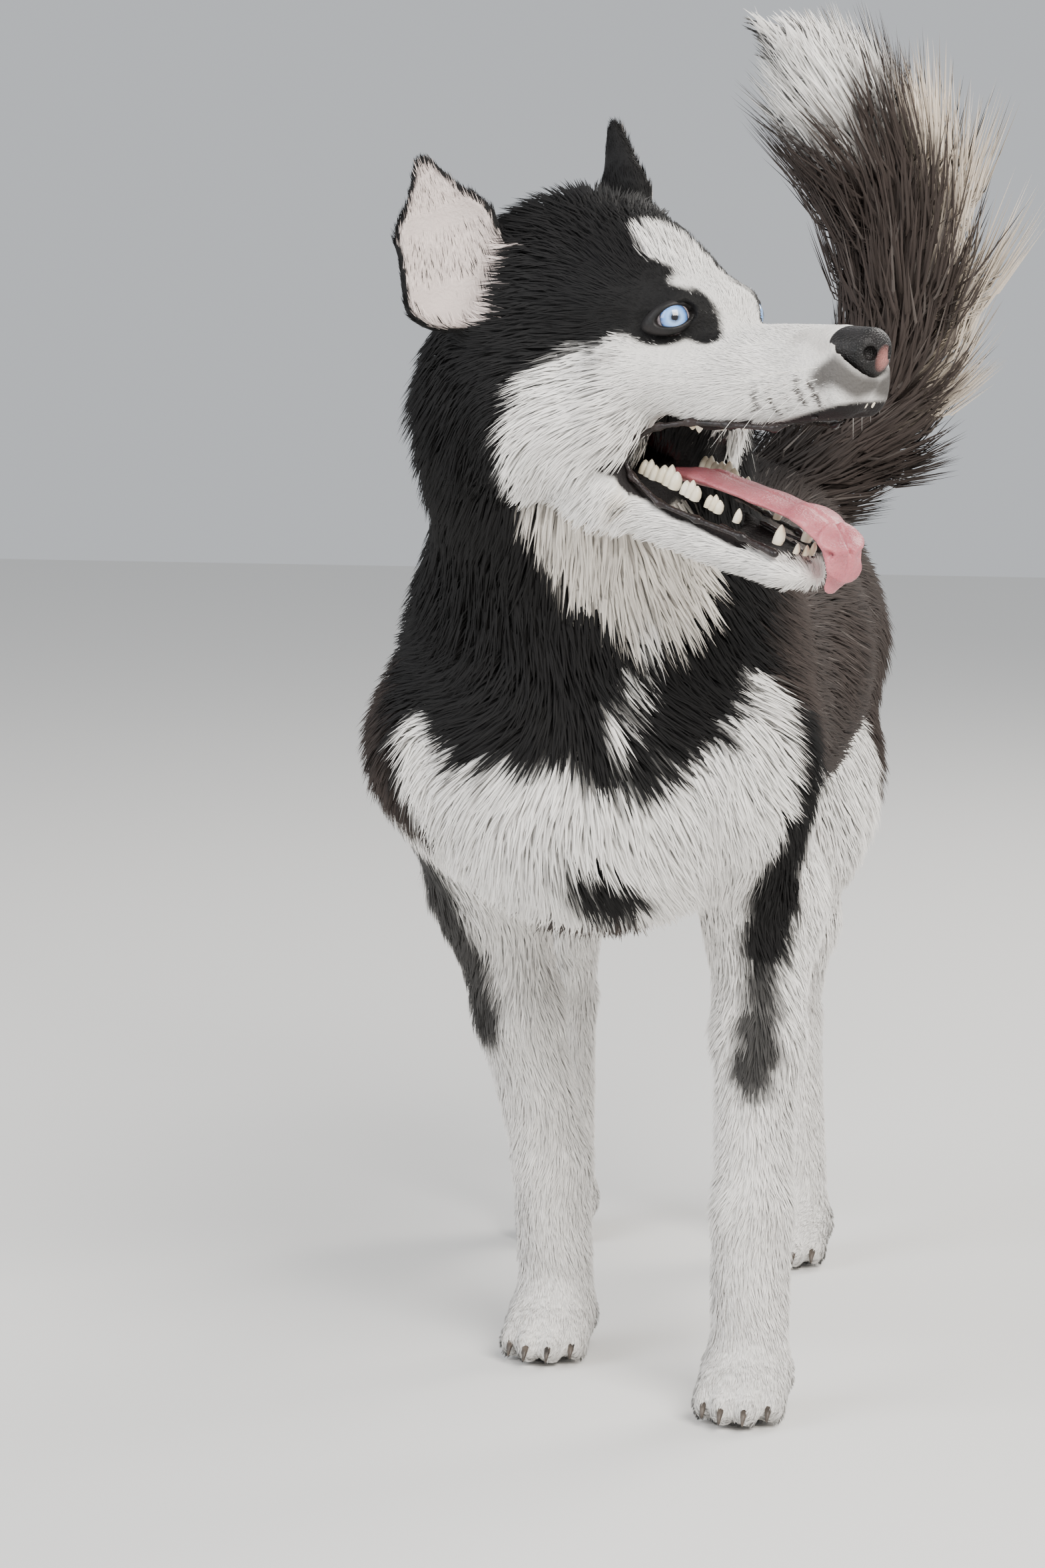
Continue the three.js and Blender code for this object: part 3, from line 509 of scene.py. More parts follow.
BODY_MARKS = [
    (((0, 380, 560), (0, 0, 590)), 75, 50, BLACK, 0.8),
    (((0, -60, 640), (-10, -80, 470), (0, -110, 410)), 120, 20, BLACK, 1),
    (((20, -185, 552), (34, -140, 516), (46, -116, 492)), 40, 7, THROAT_WHITE, 1),
    (((46, -118, 500), (44, -120, 472)), 22, 8, THROAT_WHITE, 1),
    (((-60, -105, 362), (30, -124, 360), (96, -95, 370)), 32, 7, WHITE, 1),
    (((-48, -95, 322), (25, -105, 318), (84, -75, 325)), 42, 8, WHITE, 1),
    (((104, -88, 416), (110, -84, 365)), 22, 7, WHITE, 1),
    (((-88, -90, 396), (-84, -92, 360)), 18, 6, WHITE, 1),
    (((44, -120, 456), (37, -124, 425), (30, -127, 398)), 10, 5, WHITE, 1),
    (((-78, -98, 430), (-60, -112, 394)), 15, 6, BLACK, 1),
    (((16, -128, 388), (40, -122, 378), (66, -109, 396), (86, -94, 425)), 15, 6, BLACK, 1),
    (((-52, -116, 432), (-34, -125, 418), (-18, -130, 411)), 4, 5, GREY, 0.8),
    (((56, -114, 407), (72, -101, 429), (85, -87, 439)), 4, 5, GREY, 0.7),
    (((0, 30, 296), (0, 330, 318)), 62, 24, CREAM, 1),
    (LEFT_LEG, 62, 8, WHITE, 1),
    (RIGHT_LEG, 62, 8, WHITE, 1),
    (((0, -96, 334), (20, -90, 312)), 23, 10, BLACK, 1),
    (((128, -62, 400), (116, -50, 328), (104, -44, 275)), 19, 10, BLACK, 1),
    (((104, -44, 300), (99, -46, 243), (94, -48, 200)), 16, 14, BLACK, 0.95),
    (((-110, -64, 395), (-114, -22, 330), (-102, 14, 270), (-92, 36, 205)), 18, 12, BLACK, 0.95),
    (((84, 286, 335), (66, 345, 230), (48, 380, 120), (48, 360, 0)), 44, 10, WHITE, 1),
    (((-98, 318, 300), (-118, 420, 190), (-124, 430, 120), (-122, 400, 0)), 46, 10, WHITE, 1),
    (((58, 424, 400), (62, 425, 335)), 34, 16, CREAM, 1),
    (((-62, 424, 400), (-70, 425, 335)), 34, 16, CREAM, 1),
    (((104, 388, 370), (86, 420, 290)), 16, 18, BROWN, 0.9),
    (((-110, 392, 370), (-124, 436, 280)), 16, 18, BROWN, 0.9),
]
FRINGE = [tuple(np.add(place, (54, 8, 4))) for place in TAIL_PLACES[3:8]]
BODY_MARKS += [
    (tuple(FRINGE), 30, 16, CREAM, 1),
    (tuple(TAIL_PLACES[8:]), 38, 12, WHITE, 1),
]


def stroke_distance(points, path):
    near = np.full(len(points), 1e4)
    for first, last in zip(path[:-1], path[1:]):
        way = np.subtract(last, first)
        along = np.clip((points - first) @ way / (way @ way), 0, 1)
        near = np.minimum(near, np.linalg.norm(points - first - along[:, None] * way, axis=1))
    return near


def painted(colours, points, marks):
    for path, half, soft, colour, strength in marks:
        cover = np.clip((half + soft / 2 - stroke_distance(points, path)) / soft, 0, 1)
        cover = (cover * cover * (3 - 2 * cover) * strength)[:, None]
        colours = colours * (1 - cover) + colour * cover
    return colours


def local(points, place):
    turn = np.array(place.inverted())
    return points @ turn[:3, :3].T + turn[:3, 3]


def wavering(points):
    """Small wandering of the borders between the colours, as the hairs overlap there."""
    x, y, z = points.T
    waves = np.sin(y / 6.1 + z / 4.3), np.sin(z / 5.3 + x / 4.9), np.sin(x / 5.7 - y / 4.5)
    return 2.2 * np.stack(waves, axis=1)


def flesh_distance(bars, points):
    x, y, z = points[:, 0], points[:, 1], points[:, 2]
    near = np.full(len(points), 1e3)
    for bar in bars:
        near = soft_min(near, bar.distance(x, y, z), bar.blend)
    return near


def markings(points, head):
    shaken = points + wavering(points)
    colours = np.tile(BLACK if head else BROWN, (len(points), 1)).astype(np.float32)
    colours = painted(colours, shaken, BODY_MARKS)
    if head:
        inside = local(shaken, HEAD)
        inside[:, 0] = -np.abs(inside[:, 0])
        colours = painted(colours, inside, HEAD_MARKS)
        for name in SIDES:
            cup = np.clip((1.6 - flesh_distance(EAR_CUPS[name], points)) / 1.6, 0, 1)
            cup *= flesh_distance(EAR_SHELLS[name], points) < 3
            colours = colours * (1 - cup[:, None]) + EAR_LINING * cup[:, None]
        jaw = painted(colours, local(shaken, JAW), JAW_MARKS)
        near_jaw = flesh_distance(JAW_BARS, points) < 6
        colours = np.where(near_jaw[:, None], jaw, colours)
    return colours


# Bare skin of the mouth: black lips between the fur and the teeth, and dark wet flesh further in. The lips'
# edges are heights over the way back along the head, and the head's skin wears them where it lines the mouth.
LIP = np.array((0.010, 0.008, 0.008))
GUM = np.array((0.12, 0.035, 0.035))
UPPER_BACK = (-104, -84, -62, -34, -11, 10, 27, 37)
UPPER_HEIGHT = (-59, -61, -64, -60, -56, -56, -60, -70)
LOWER_BACK = (-48, -30, -4, 18, 33)
LOWER_HEIGHT = (-131, -120, -108, -97, -81)


def mouth_distance(points):
    x, y, z = points.T
    near = np.full(len(points), 1e3)
    for bar in MOUTH:
        near = np.minimum(near, bar.distance(x, y, z))
    return near


def lip_cover(points):
    """1 on the bare black skin between the fur and the teeth, 0 on the furred skin."""
    upper, lower = local(points, HEAD), local(points, JAW)
    jaw = flesh_distance(JAW_BARS, points)
    above = np.clip((np.interp(upper[:, 1], UPPER_BACK, UPPER_HEIGHT) + 3.5 - upper[:, 2]) / 2, 0, 1)
    above *= (upper[:, 1] < 42) & (np.abs(upper[:, 0]) < 40) & (jaw > 3)
    beside = (lower[:, 1] > -105) & (lower[:, 1] < -44) & (upper[:, 2] < -66)
    below = np.clip((lower[:, 2] + 17) / 2, 0, 1) * ((jaw < 9) | beside) * (lower[:, 1] < 4)
    inner = upper[:, 2] > np.interp(upper[:, 1], LOWER_BACK, LOWER_HEIGHT) - 1
    inner &= (np.abs(upper[:, 0]) < 36) & (upper[:, 1] > -50) & (upper[:, 1] < 34) & (upper[:, 2] < -66)
    return np.maximum(np.maximum(above, below), inner)


def mouth_colours(points, colours):
    """Black lips at the rim of the mouth and dark wet flesh inside it."""
    outer = -np.minimum(flesh_distance(HEAD_BARS, points), flesh_distance(JAW_BARS, points))
    lip = np.maximum(np.clip((8.5 - mouth_distance(points)) / 1.5, 0, 1), lip_cover(points))[:, None]
    deep = np.clip((outer - 7) / 5, 0, 1)[:, None] * lip
    return colours * (1 - lip) + (LIP * (1 - deep) + GUM * deep) * lip


def throat_shade_colours(points, colours):
    """The body's skin closes the mouth behind, and is painted as black as the lips there: painted shade of
    the deep throat.
    """
    inner = np.clip(0.5 - flesh_distance(THROAT, points) / 3, 0, 1)[:, None]
    return colours * (1 - inner) + LIP * inner


def mesh_arrays(obj):
    mesh = obj.data
    points = np.empty(len(mesh.vertices) * 3, np.float32)
    mesh.vertices.foreach_get("co", points)
    normals = np.empty(len(mesh.vertices) * 3, np.float32)
    mesh.vertex_normals.foreach_get("vector", normals)
    corners = np.empty(len(mesh.loops), np.int32)
    mesh.loops.foreach_get("vertex_index", corners)
    return (points.reshape(-1, 3) - SHIFT) * 1000, normals.reshape(-1, 3), corners.reshape(-1, 4)


def set_colours(mesh, name, colours):
    layer = mesh.color_attributes.new(name, "FLOAT_COLOR", "POINT")
    full = np.ones((len(colours), 4), np.float32)
    full[:, :3] = colours
    layer.data.foreach_set("color", full.ravel())


def new_material(name, finish):
    """A material with its shader's sockets set, its nodes and links, and its place in the model."""
    made = bpy.data.materials.new(name)
    made.use_nodes = True
    nodes, links = made.node_tree.nodes, made.node_tree.links
    shader = nodes["Principled BSDF"]
    for socket, value in finish.items():
        shader.inputs[socket].default_value = value
    return made, nodes, links, shader, nodes.new("ShaderNodeTexCoord").outputs["Object"]


def grain(nodes, links, place, scale, detail=None, kind="ShaderNodeTexNoise"):
    texture = nodes.new(kind)
    texture.inputs["Scale"].default_value = scale
    if detail is not None:
        texture.inputs["Detail"].default_value = detail
    links.new(place, texture.inputs["Vector"])
    return texture.outputs[0]


def raise_relief(nodes, links, shader, height, distance):
    bump = nodes.new("ShaderNodeBump")
    bump.inputs["Distance"].default_value = distance
    links.new(height, bump.inputs["Height"])
    links.new(bump.outputs["Normal"], shader.inputs["Normal"])


def fur_material(name, attribute, relief):
    """The painted colour with a fine mottle, and on the skin a relief of short flat hairs."""
    finish = {"Roughness": 0.72, "Specular IOR Level": 0.22}
    made, nodes, links, shader, place = new_material(name, finish)
    colour = nodes.new("ShaderNodeAttribute")
    colour.attribute_name = attribute
    depth = nodes.new("ShaderNodeMapRange")
    depth.inputs["To Min"].default_value = 0.8
    depth.inputs["To Max"].default_value = 1.2
    links.new(grain(nodes, links, place, 45, 5), depth.inputs["Value"])
    scaled = nodes.new("ShaderNodeVectorMath")
    scaled.operation = "SCALE"
    links.new(colour.outputs["Color"], scaled.inputs[0])
    links.new(depth.outputs["Result"], scaled.inputs["Scale"])
    links.new(scaled.outputs["Vector"], shader.inputs["Base Color"])
    if relief:
        raise_relief(nodes, links, shader, grain(nodes, links, place, 520), relief)
    return made


skin_look = fur_material("husky_skin", "skin", 0.0009)
for skin, line_mouth in ((skin_body, throat_shade_colours), (skin_head, mouth_colours)):
    points, _, _ = mesh_arrays(skin)
    colours = line_mouth(points, markings(points, skin is skin_head) * 0.75)
    set_colours(skin.data, "skin", colours)
    skin.data.materials.append(skin_look)

# Coat: straight outer hair over a dense undercoat, rooted in the skin all over. It is made as thin solid
# tufts that follow the lie of the fur, bend with it and gather into locks. Their colours are the markings at
# their place, painted darker at the root and lighter at the tip as painted shade and light in the coat, and
# they are smallest round the eyes, on the nose and on the feet.
chance = np.random.default_rng(7)


def coat_values(points, bars):
    """Mixes the bars' fur by how near each one is: lie, hair length, width, stand and the nearest bar."""
    x, y, z = (points[:, i].astype(np.float32) for i in range(3))
    near = np.stack([bar.distance(x, y, z, bar.coat).astype(np.float32) for bar in bars])
    share = np.exp(-(near - near.min(axis=0)) / 7.0)
    share /= share.sum(axis=0)
    values = np.array([[bar.hair[0], bar.hair[1], bar.stand, *bar.lie] for bar in bars], np.float32)
    mixed = share.T @ values
    return mixed[:, 3:6], mixed[:, 0], mixed[:, 1], mixed[:, 2], near.argmin(axis=0)


def sow(obj, bars):
    """Roots all over a skin, closer where the hair is short and fine."""
    points, normals, quads = mesh_arrays(obj)
    corner = points[quads]
    area = 0.5 * np.linalg.norm(np.cross(corner[:, 2] - corner[:, 0], corner[:, 3] - corner[:, 1]), axis=1)
    _, length, width, _, _ = coat_values(corner.mean(axis=1), bars)
    cover = np.interp(length, (6, 15, 40, 60, 90), (2.6, 3.4, 7.0, 9.0, 16.0))
    wanted = area * cover / (0.6 * length * width)
    count = np.floor(wanted + chance.random(len(wanted))).astype(int)
    pick = np.repeat(np.arange(len(quads)), count)
    u, v = chance.random((2, len(pick)))[:, :, None]
    weights = ((1 - u) * (1 - v), u * (1 - v), u * v, (1 - u) * v)
    root = sum(weight * points[quads[pick, k]] for k, weight in enumerate(weights))
    normal = sum(weight * normals[quads[pick, k]] for k, weight in enumerate(weights))
    return root, normal / np.linalg.norm(normal, axis=1, keepdims=True)


def unit(vectors):
    return vectors / np.maximum(np.linalg.norm(vectors, axis=1, keepdims=True), 1e-9)


def comb(roots, normals, bars, fine):
    """The shape of every tuft: root, middle and tip, its width and side."""
    lie, length, width, stand, nearest = coat_values(roots, bars)
    n = len(roots)
    wave = 0.16 * (np.sin(roots[:, 2] / 17 + roots[:, 0] / 23) + np.sin(roots[:, 1] / 19 - roots[:, 2] / 29))
    lie = unit(lie - normals * (lie * normals).sum(axis=1, keepdims=True))
    side = np.cross(normals, lie)
    stray = wave + chance.normal(0, 0.13, n)
    lie = lie * np.cos(stray)[:, None] + side * np.sin(stray)[:, None]
    length = length * fine * chance.uniform(0.72, 1.2, n)
    stand, width = stand * fine, width * np.sqrt(fine)
    lift = np.arcsin(np.clip(stand / length * 0.95, 0.03, 0.86)) * chance.uniform(0.7, 1.3, n)
    low, high = np.minimum(lift * 1.5, 1.3), lift * 0.5
    root = roots - normals * 0.6
    first = lie * np.cos(low)[:, None] + normals * np.sin(low)[:, None]
    second = lie * np.cos(high)[:, None] + normals * np.sin(high)[:, None]
    middle = root + first * (length * 0.45)[:, None]
    tip = middle + second * (length * 0.55)[:, None]
    return root, middle, tip, lie, normals, width * chance.uniform(0.8, 1.25, n), nearest


def gather(root, middle, tip, share, pull):
    """Pulls the tips of neighbouring tufts towards one tip, as hair gathers into locks."""
    leaders = np.nonzero(chance.random(len(root)) < share)[0]
    tree = KDTree(len(leaders))
    for k, i in enumerate(leaders):
        tree.insert(root[i], k)
    tree.balance()
    nearest = leaders[[tree.find(point)[1] for point in root]]
    drift = tip[nearest] - tip
    return middle + drift * (pull * 0.35), tip + drift * pull


LONG_TUFT = np.array([
    (0, 1, 4), (0, 4, 3), (1, 2, 5), (1, 5, 4), (2, 0, 3), (2, 3, 5), (3, 4, 6), (4, 5, 6), (5, 3, 6),
])
SHORT_TUFT = np.array([(0, 1, 3), (1, 2, 3), (2, 0, 3)])
PATCH = 0.003
LONG_REACH = 17
TRIANGLES_MOST = 190000


def tuft_mesh(name, root, middle, tip, across, normal, width, colours, patch, long):
    """Three-sided tapered tufts. Long ones have a bend, and their shading leans on the skin's own."""
    half = (across * width[:, None]) / 2
    ridge = normal * (width * 0.4)[:, None]
    rows = [root - half, root + half, root + ridge]
    turns = [normal - across * 0.5, normal + across * 0.5, normal * 1.2]
    # The roots are painted darker as painted shade deep in the coat, and the tips a little lighter as painted
    # light.
    painted_shading, heights = [0.8, 0.8, 0.84], [0, 0, 0]
    if long:
        rows += [middle - half * 0.9, middle + half * 0.9, middle + ridge * 0.9]
        turns += turns
        painted_shading += [0.97, 0.97, 1.02]
        heights += [0.5, 0.5, 0.5]
    rows.append(tip)
    turns.append(normal)
    painted_shading.append(1.06)
    heights.append(1)
    corners = len(rows)
    pattern = LONG_TUFT if long else SHORT_TUFT
    faces = (pattern[None] + corners * np.arange(len(root))[:, None, None]).reshape(-1, 3)
    obj = new_object(name, metres(np.stack(rows, axis=1).reshape(-1, 3)), [faces])
    tints = colours[:, None, :] * np.array(painted_shading)[None, :, None]
    set_colours(obj.data, "fur", tints.reshape(-1, 3))
    spread = np.array([(k % 3 / 2, height) for k, height in enumerate(heights)]) * PATCH
    place = (patch[:, None, :] + spread[None]).reshape(-1, 2)
    layer = obj.data.uv_layers.new(name="OFBake")
    layer.data.foreach_set("uv", place[faces.reshape(-1)].astype(np.float32).ravel())
    obj.data.normals_split_custom_set_from_vertices(unit(np.stack(turns, axis=1).reshape(-1, 3)).tolist())
    return obj


def unwrap(roots, nearest, bars):
    """Lays each bar's skin out flat in a tile of its own: round the bar and along it."""
    used = np.unique(nearest)
    across = int(math.ceil(math.sqrt(len(used))))
    place = np.zeros((len(roots), 2))
    for tile, index in enumerate(used):
        mine = nearest == index
        bar = bars[index]
        offset = roots[mine] - bar.start
        angle = np.arctan2(offset @ bar.deep, offset @ bar.side) / (2 * math.pi) + 0.5
        spare = bar.length * 0.5 + 40
        along = (offset @ bar.axis + spare) / (bar.length + 2 * spare)
        place[mine, 0] = (tile % across + 0.02 + 0.96 * angle) / across
        place[mine, 1] = (tile // across + 0.02 + 0.96 * np.clip(along, 0, 1)) / across
    return place * (1 - PATCH)


def fineness(points):
    """The fur is shortest round the eyes and the nose, and grows away from them."""
    near = np.full(len(points), 1e3)
    for place in [eye["centre"] for eye in EYES.values()] + [place_of(HEAD, (0, -115, -30))]:
        near = np.minimum(near, np.linalg.norm(points - place, axis=1))
    return np.clip((near - 6) / 46, 0.34, 1)


def in_eye(points):
    inside = np.zeros(len(points), bool)
    for eye in EYES.values():
        offset = points - eye["centre"]
        across, up, outward = offset @ eye["across"], offset @ eye["up"], offset @ eye["outward"]
        inside |= (across / 13) ** 2 + (up / 7.6) ** 2 + (outward / 20) ** 2 < 1
    return inside


def furred(roots, head):
    """Hair grows all over, but not on soles, lips, nose and eyes, nor beyond the joint in the neck."""
    beyond = (roots - NECK_CUT) @ NECK_WAY
    keep = (mouth_distance(roots) >= 7.5) & (roots[:, 2] > 3.0)
    if head:
        keep &= (beyond > 0) & ~in_eye(roots) & (flesh_distance(NOSE, roots) > 0.5)
        return keep & (lip_cover(roots) < 0.4)
    return keep & (beyond < -1) & (flesh_distance(THROAT, roots) > 1)


def hair_colours(root, tip, head):
    """The markings near the tip of each tuft, with pale guard hairs on the back and a chance of its own."""
    colours = markings(root * 0.35 + tip * 0.65 + chance.normal(0, 1.3, root.shape), head)
    guard = (chance.random(len(root)) < 0.04) & (root[:, 1] > 0) & (root[:, 2] > 300)
    colours = np.where(guard[:, None], colours * 0.8 + GREY * 0.2, colours)
    return colours * chance.uniform(0.86, 1.12, len(root))[:, None]


fur = fur_material("husky_coat", "fur", 0)
BODY_COAT = BODY_BARS + TAIL_BARS
HEAD_COAT = HEAD_BARS + NECK_BARS + JAW_BARS + EAR_SHELLS["left"] + EAR_SHELLS["right"]
for skin, bars, name in ((skin_body, BODY_COAT, "body"), (skin_head, HEAD_COAT, "head")):
    roots, normals = sow(skin, bars)
    keep = furred(roots, name == "head")
    roots, normals = roots[keep], normals[keep]
    fine = fineness(roots) if name == "head" else np.ones(len(roots))
    root, middle, tip, lie, normal, width, nearest = comb(roots, normals, bars, fine)
    middle, tip = gather(root, middle, tip, 0.07, 0.32)
    across = unit(np.cross(normal, lie))
    colours = hair_colours(root, tip, name == "head")
    patch = unwrap(roots, nearest, bars)
    reach = np.linalg.norm(tip - root, axis=1)
    for kind, long in (("long", True), ("short", False)):
        chosen = np.nonzero((reach > LONG_REACH) == long)[0]
        chosen = chosen[np.argsort(nearest[chosen], kind="stable")]
        most = TRIANGLES_MOST // len(LONG_TUFT if long else SHORT_TUFT)
        for part, mine in enumerate(np.array_split(chosen, math.ceil(len(chosen) / most))):
            piece = tuft_mesh(f"coat_{name}_{kind}_{part + 1}", root[mine], middle[mine], tip[mine],
                              across[mine], normal[mine], width[mine], colours[mine], patch[mine], long)
            piece.data.materials.append(fur)
            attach(piece, "root")

# Nose: a pad of damp black leather on the end of the muzzle, paler pink in front. It is cast whole, with
# two comma-shaped nostrils and the groove between them cut in, and its leather is finely cobbled.


def surface(name, colours, mottle, rough, cobble, depth=0.0004, coat=0.0, shine=0.3,
            kind="ShaderNodeTexNoise"):
    """A bare surface of two mixed colours, with a fine relief of its own."""
    finish = {"Roughness": rough, "Specular IOR Level": shine, "Coat Weight": coat, "Coat Roughness": 0.12}
    made, nodes, links, shader, place = new_material(name, finish)
    ramp = nodes.new("ShaderNodeValToRGB")
    for stop, position, colour in zip(ramp.color_ramp.elements, (0.35, 0.65), colours):
        stop.position = position
        stop.color = (*colour, 1)
    links.new(grain(nodes, links, place, mottle, 4), ramp.inputs["Fac"])
    links.new(ramp.outputs["Color"], shader.inputs["Base Color"])
    raise_relief(nodes, links, shader, grain(nodes, links, place, cobble, kind=kind), depth)
    return made


def dress(obj, material, slot, *nodes):
    obj.data.materials.append(material)
    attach(obj, "root")
    if nodes:
        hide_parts(*nodes)


nose_block = Block((150, -330, 560), (260, -200, 700), 0.7)
nose_block.add(NOSE)
nostrils = [Bar((side * 7, -117, -32), (side * 13, -126, -31), (3.8, 3.6), (4.4, 4.0), place=HEAD)
            for side in (-1, 1)]
slits = [Bar((side * 12, -119, -35), (side * 19, -107, -38), (2.0, 2.4), (1.2, 1.6), place=HEAD)
         for side in (-1, 1)]
groove = Bar((0, -128, -34), (0, -124, -46), (0.7, 2.4), (0.7, 2.4), place=HEAD, deep=BACK)
nose_block.cut(nostrils + slits, 1.5)
nose_block.cut([groove], 1.0)
nose_points, nose_quads = nose_block.mesh()
nose = new_object("nose_pad", metres(nose_points), [nose_quads])
leather = surface("nose_leather", ((0.006, 0.0055, 0.0055), (0.016, 0.014, 0.014)), 90, 0.45, 900, 0.0006,
                  coat=0.06, shine=0.25, kind="ShaderNodeTexVoronoi")
PINK = (0.42, 0.17, 0.15)
PINK_MIDDLE = (2, -126, -40)
from_pink = np.linalg.norm((local(nose_points, HEAD) - PINK_MIDDLE) * (1, 1, 0.8), axis=1)
pink_share = np.clip((11 - from_pink) / 5, 0, 1)
set_colours(nose.data, "pink", np.repeat(pink_share[:, None], 3, axis=1))
nodes, links = leather.node_tree.nodes, leather.node_tree.links
share = nodes.new("ShaderNodeAttribute")
share.attribute_name = "pink"
mix = nodes.new("ShaderNodeMix")
mix.data_type = "RGBA"
mix.inputs[7].default_value = (*PINK, 1)
base = nodes["Principled BSDF"].inputs["Base Color"]
links.new(share.outputs["Fac"], mix.inputs["Factor"])
links.new(base.links[0].from_socket, mix.inputs[6])
links.new(mix.outputs[2], base)
dress(nose, leather, "nose_leather", "nose")

# Tongue: a broad wet ribbon of muscle with a groove down its middle. It is rooted in the trough of the jaw,
# lies between the tooth rows and drops over the front of the chin. It is cast in one piece.
TONGUE_PLACES = (
    (0, -44, -16), (0, -84, -4), (0, -125, 2), (2, -156, 5), (4, -176, 0), (3, -184, -12), (-1, -183, -24),
)
TONGUE_HALVES = ((17, 8), (19, 7), (20, 6), (21, 6), (21, 6), (17, 5.5), (9, 4.5))
TONGUE_DEEP = ((0, 0, 1), (0, 0, 1), (0, 0, 1), (0, -0.4, 0.9), (0, -0.85, 0.5), (0, -1, 0))
tongue_block = Block((60, -330, 480), (260, -180, 640), 1.0)
grooves = []
for i, deep in enumerate(TONGUE_DEEP):
    start, end = TONGUE_PLACES[i], TONGUE_PLACES[i + 1]
    halves = TONGUE_HALVES[i], TONGUE_HALVES[i + 1]
    tongue_block.add([Bar(start, end, *halves, place=JAW, deep=deep, blend=6)])
    rise = [np.array(deep) / np.linalg.norm(deep) * (half[1] + 1.2) for half in halves]
    over = np.add(start, rise[0]), np.add(end, rise[1])
    grooves.append(Bar(*over, (1.6, 3.2), (1.6, 3.2), place=JAW, deep=deep))
tongue_block.cut(grooves[:5], 4.0)
tongue_points, tongue_quads = tongue_block.mesh()
tongue = new_object("tongue_flesh", metres(tongue_points), [tongue_quads])
flesh = surface("tongue_flesh", ((0.36, 0.10, 0.12), (0.50, 0.165, 0.185)), 60, 0.42, 700, 0.0008, coat=0.12)
flesh_shader = flesh.node_tree.nodes["Principled BSDF"]
flesh_shader.inputs["Subsurface Weight"].default_value = 0.15
flesh_shader.inputs["Subsurface Scale"].default_value = 0.004
dress(tongue, flesh, "mouth_flesh", "tongue")

# Lips: a thick wet black rim of bare skin round the whole mouth. They edge the fur of cheeks and jaw, are
# joined in both corners and are cast in one piece, a little proud of the skin.
UPPER_LIP = (
    (0, -104, -60), (-10, -100, -62), (-18, -84, -62), (-25, -62, -65), (-30, -34, -60), (-34, -11, -56),
    (-36, 10, -56), (-37, 27, -60), (-37, 37, -70),
)
LOWER_LIP = (
    (-37, 37, -70), (-36, 33, -81), (-33, 18, -97), (-29, -4, -108), (-24, -30, -120), (-19, -48, -131),
)
FRONT_LIP = ((-17, -112, -19), (-13, -140, -18), (-9, -158, -18), (0, -164, -18))
lip_block = Block((40, -330, 470), (260, 0, 680), 1.2)
for side in (1, -1):
    for path, place in ((UPPER_LIP, HEAD), (LOWER_LIP, HEAD), (FRONT_LIP, JAW)):
        thick = 3.4 if path is FRONT_LIP else 4.6
        for first, last in zip(path[:-1], path[1:]):
            ends = [(side * -p[0], p[1], p[2]) for p in (first, last)]
            slim = [2.6 if place is HEAD and abs(p[0]) < 19 and p[1] < -80 else thick for p in (first, last)]
            lip_block.add([Bar(*ends, (slim[0], slim[0]), (slim[1], slim[1]), place=place, blend=4)])
    joint = place_of(JAW, (side * 17, -112, -19)), place_of(HEAD, (side * 19, -48, -131))
    lip_block.add([Bar(*joint, (3.6, 3.6), (4.2, 4.2), blend=4)])
lip_points, lip_quads = lip_block.mesh()
lips = new_object("lips", metres(lip_points), [lip_quads])
lip_skin = surface("lip_skin", ((0.006, 0.005, 0.005), (0.022, 0.014, 0.013)), 80, 0.36, 350, 0.0008,
                   coat=0.1)
dress(lips, lip_skin, "nose_leather")

# Teeth: hard ivory, small in front, long at the corners and broad behind with a middle point and two lower
# ones. They stand in two rows along palate and jaw, sunk in the gums, and are spikes of six rings.
UPPER_TEETH = (
    (19, -4, -56, 5.6), (18.5, -20, -57, 5), (18, -36, -58, 4.4), (18, -48, -58, 4), (16, -66, -58, 3.5),
    (13, -90, -58, 5.5), (8, -103, -57, 3), (3, -107, -57, 3),
)
LOWER_TEETH = (
    (25, -60, -8, 5), (24, -74, -6, 6), (23, -90, -7, 5), (20.5, -106, -8, 4.5), (17, -121, -9, 4),
    (12, -148, -8, 5.5), (7, -158, -12, 3), (2.6, -161, -12, 3),
)
CORNER_WIDTH = 5.5
ONE_POINT = ((0, 1),)
THREE_POINTS = ((0, 1), (-0.8, 0.66), (0.8, 0.6))
TOOTH = ((0, 0.9), (0.3, 1), (0.6, 0.86), (0.84, 0.5), (0.96, 0.2), (1, 0.02))


def spikes(name, pieces, sides, profile):
    """pieces holds (root, bend, tip, radius), the profile the share of the radius at each height."""
    points, faces = [], []
    for root, bend, tip, radius in pieces:
        root, bend, tip = (np.asarray(p, float) for p in (root, bend, tip))
        way = unit((tip - root)[None])[0]
        side = unit(np.cross(way, (0.31, 0.2, 0.93))[None])[0]
        other = np.cross(way, side)
        first = len(points)
        for height, share in profile:
            middle = root * (1 - height) ** 2 + bend * 2 * height * (1 - height) + tip * height ** 2
            for k in range(sides):
                angle = 2 * math.pi * k / sides
                points.append(middle + radius * share * (side * math.cos(angle) + other * math.sin(angle)))
        for row in range(len(profile) - 1):
            for k in range(sides):
                a, b = first + row * sides + k, first + row * sides + (k + 1) % sides
                faces.append((a, b, b + sides, a + sides))
    return new_object(name, metres(np.array(points)), [np.array(faces)])


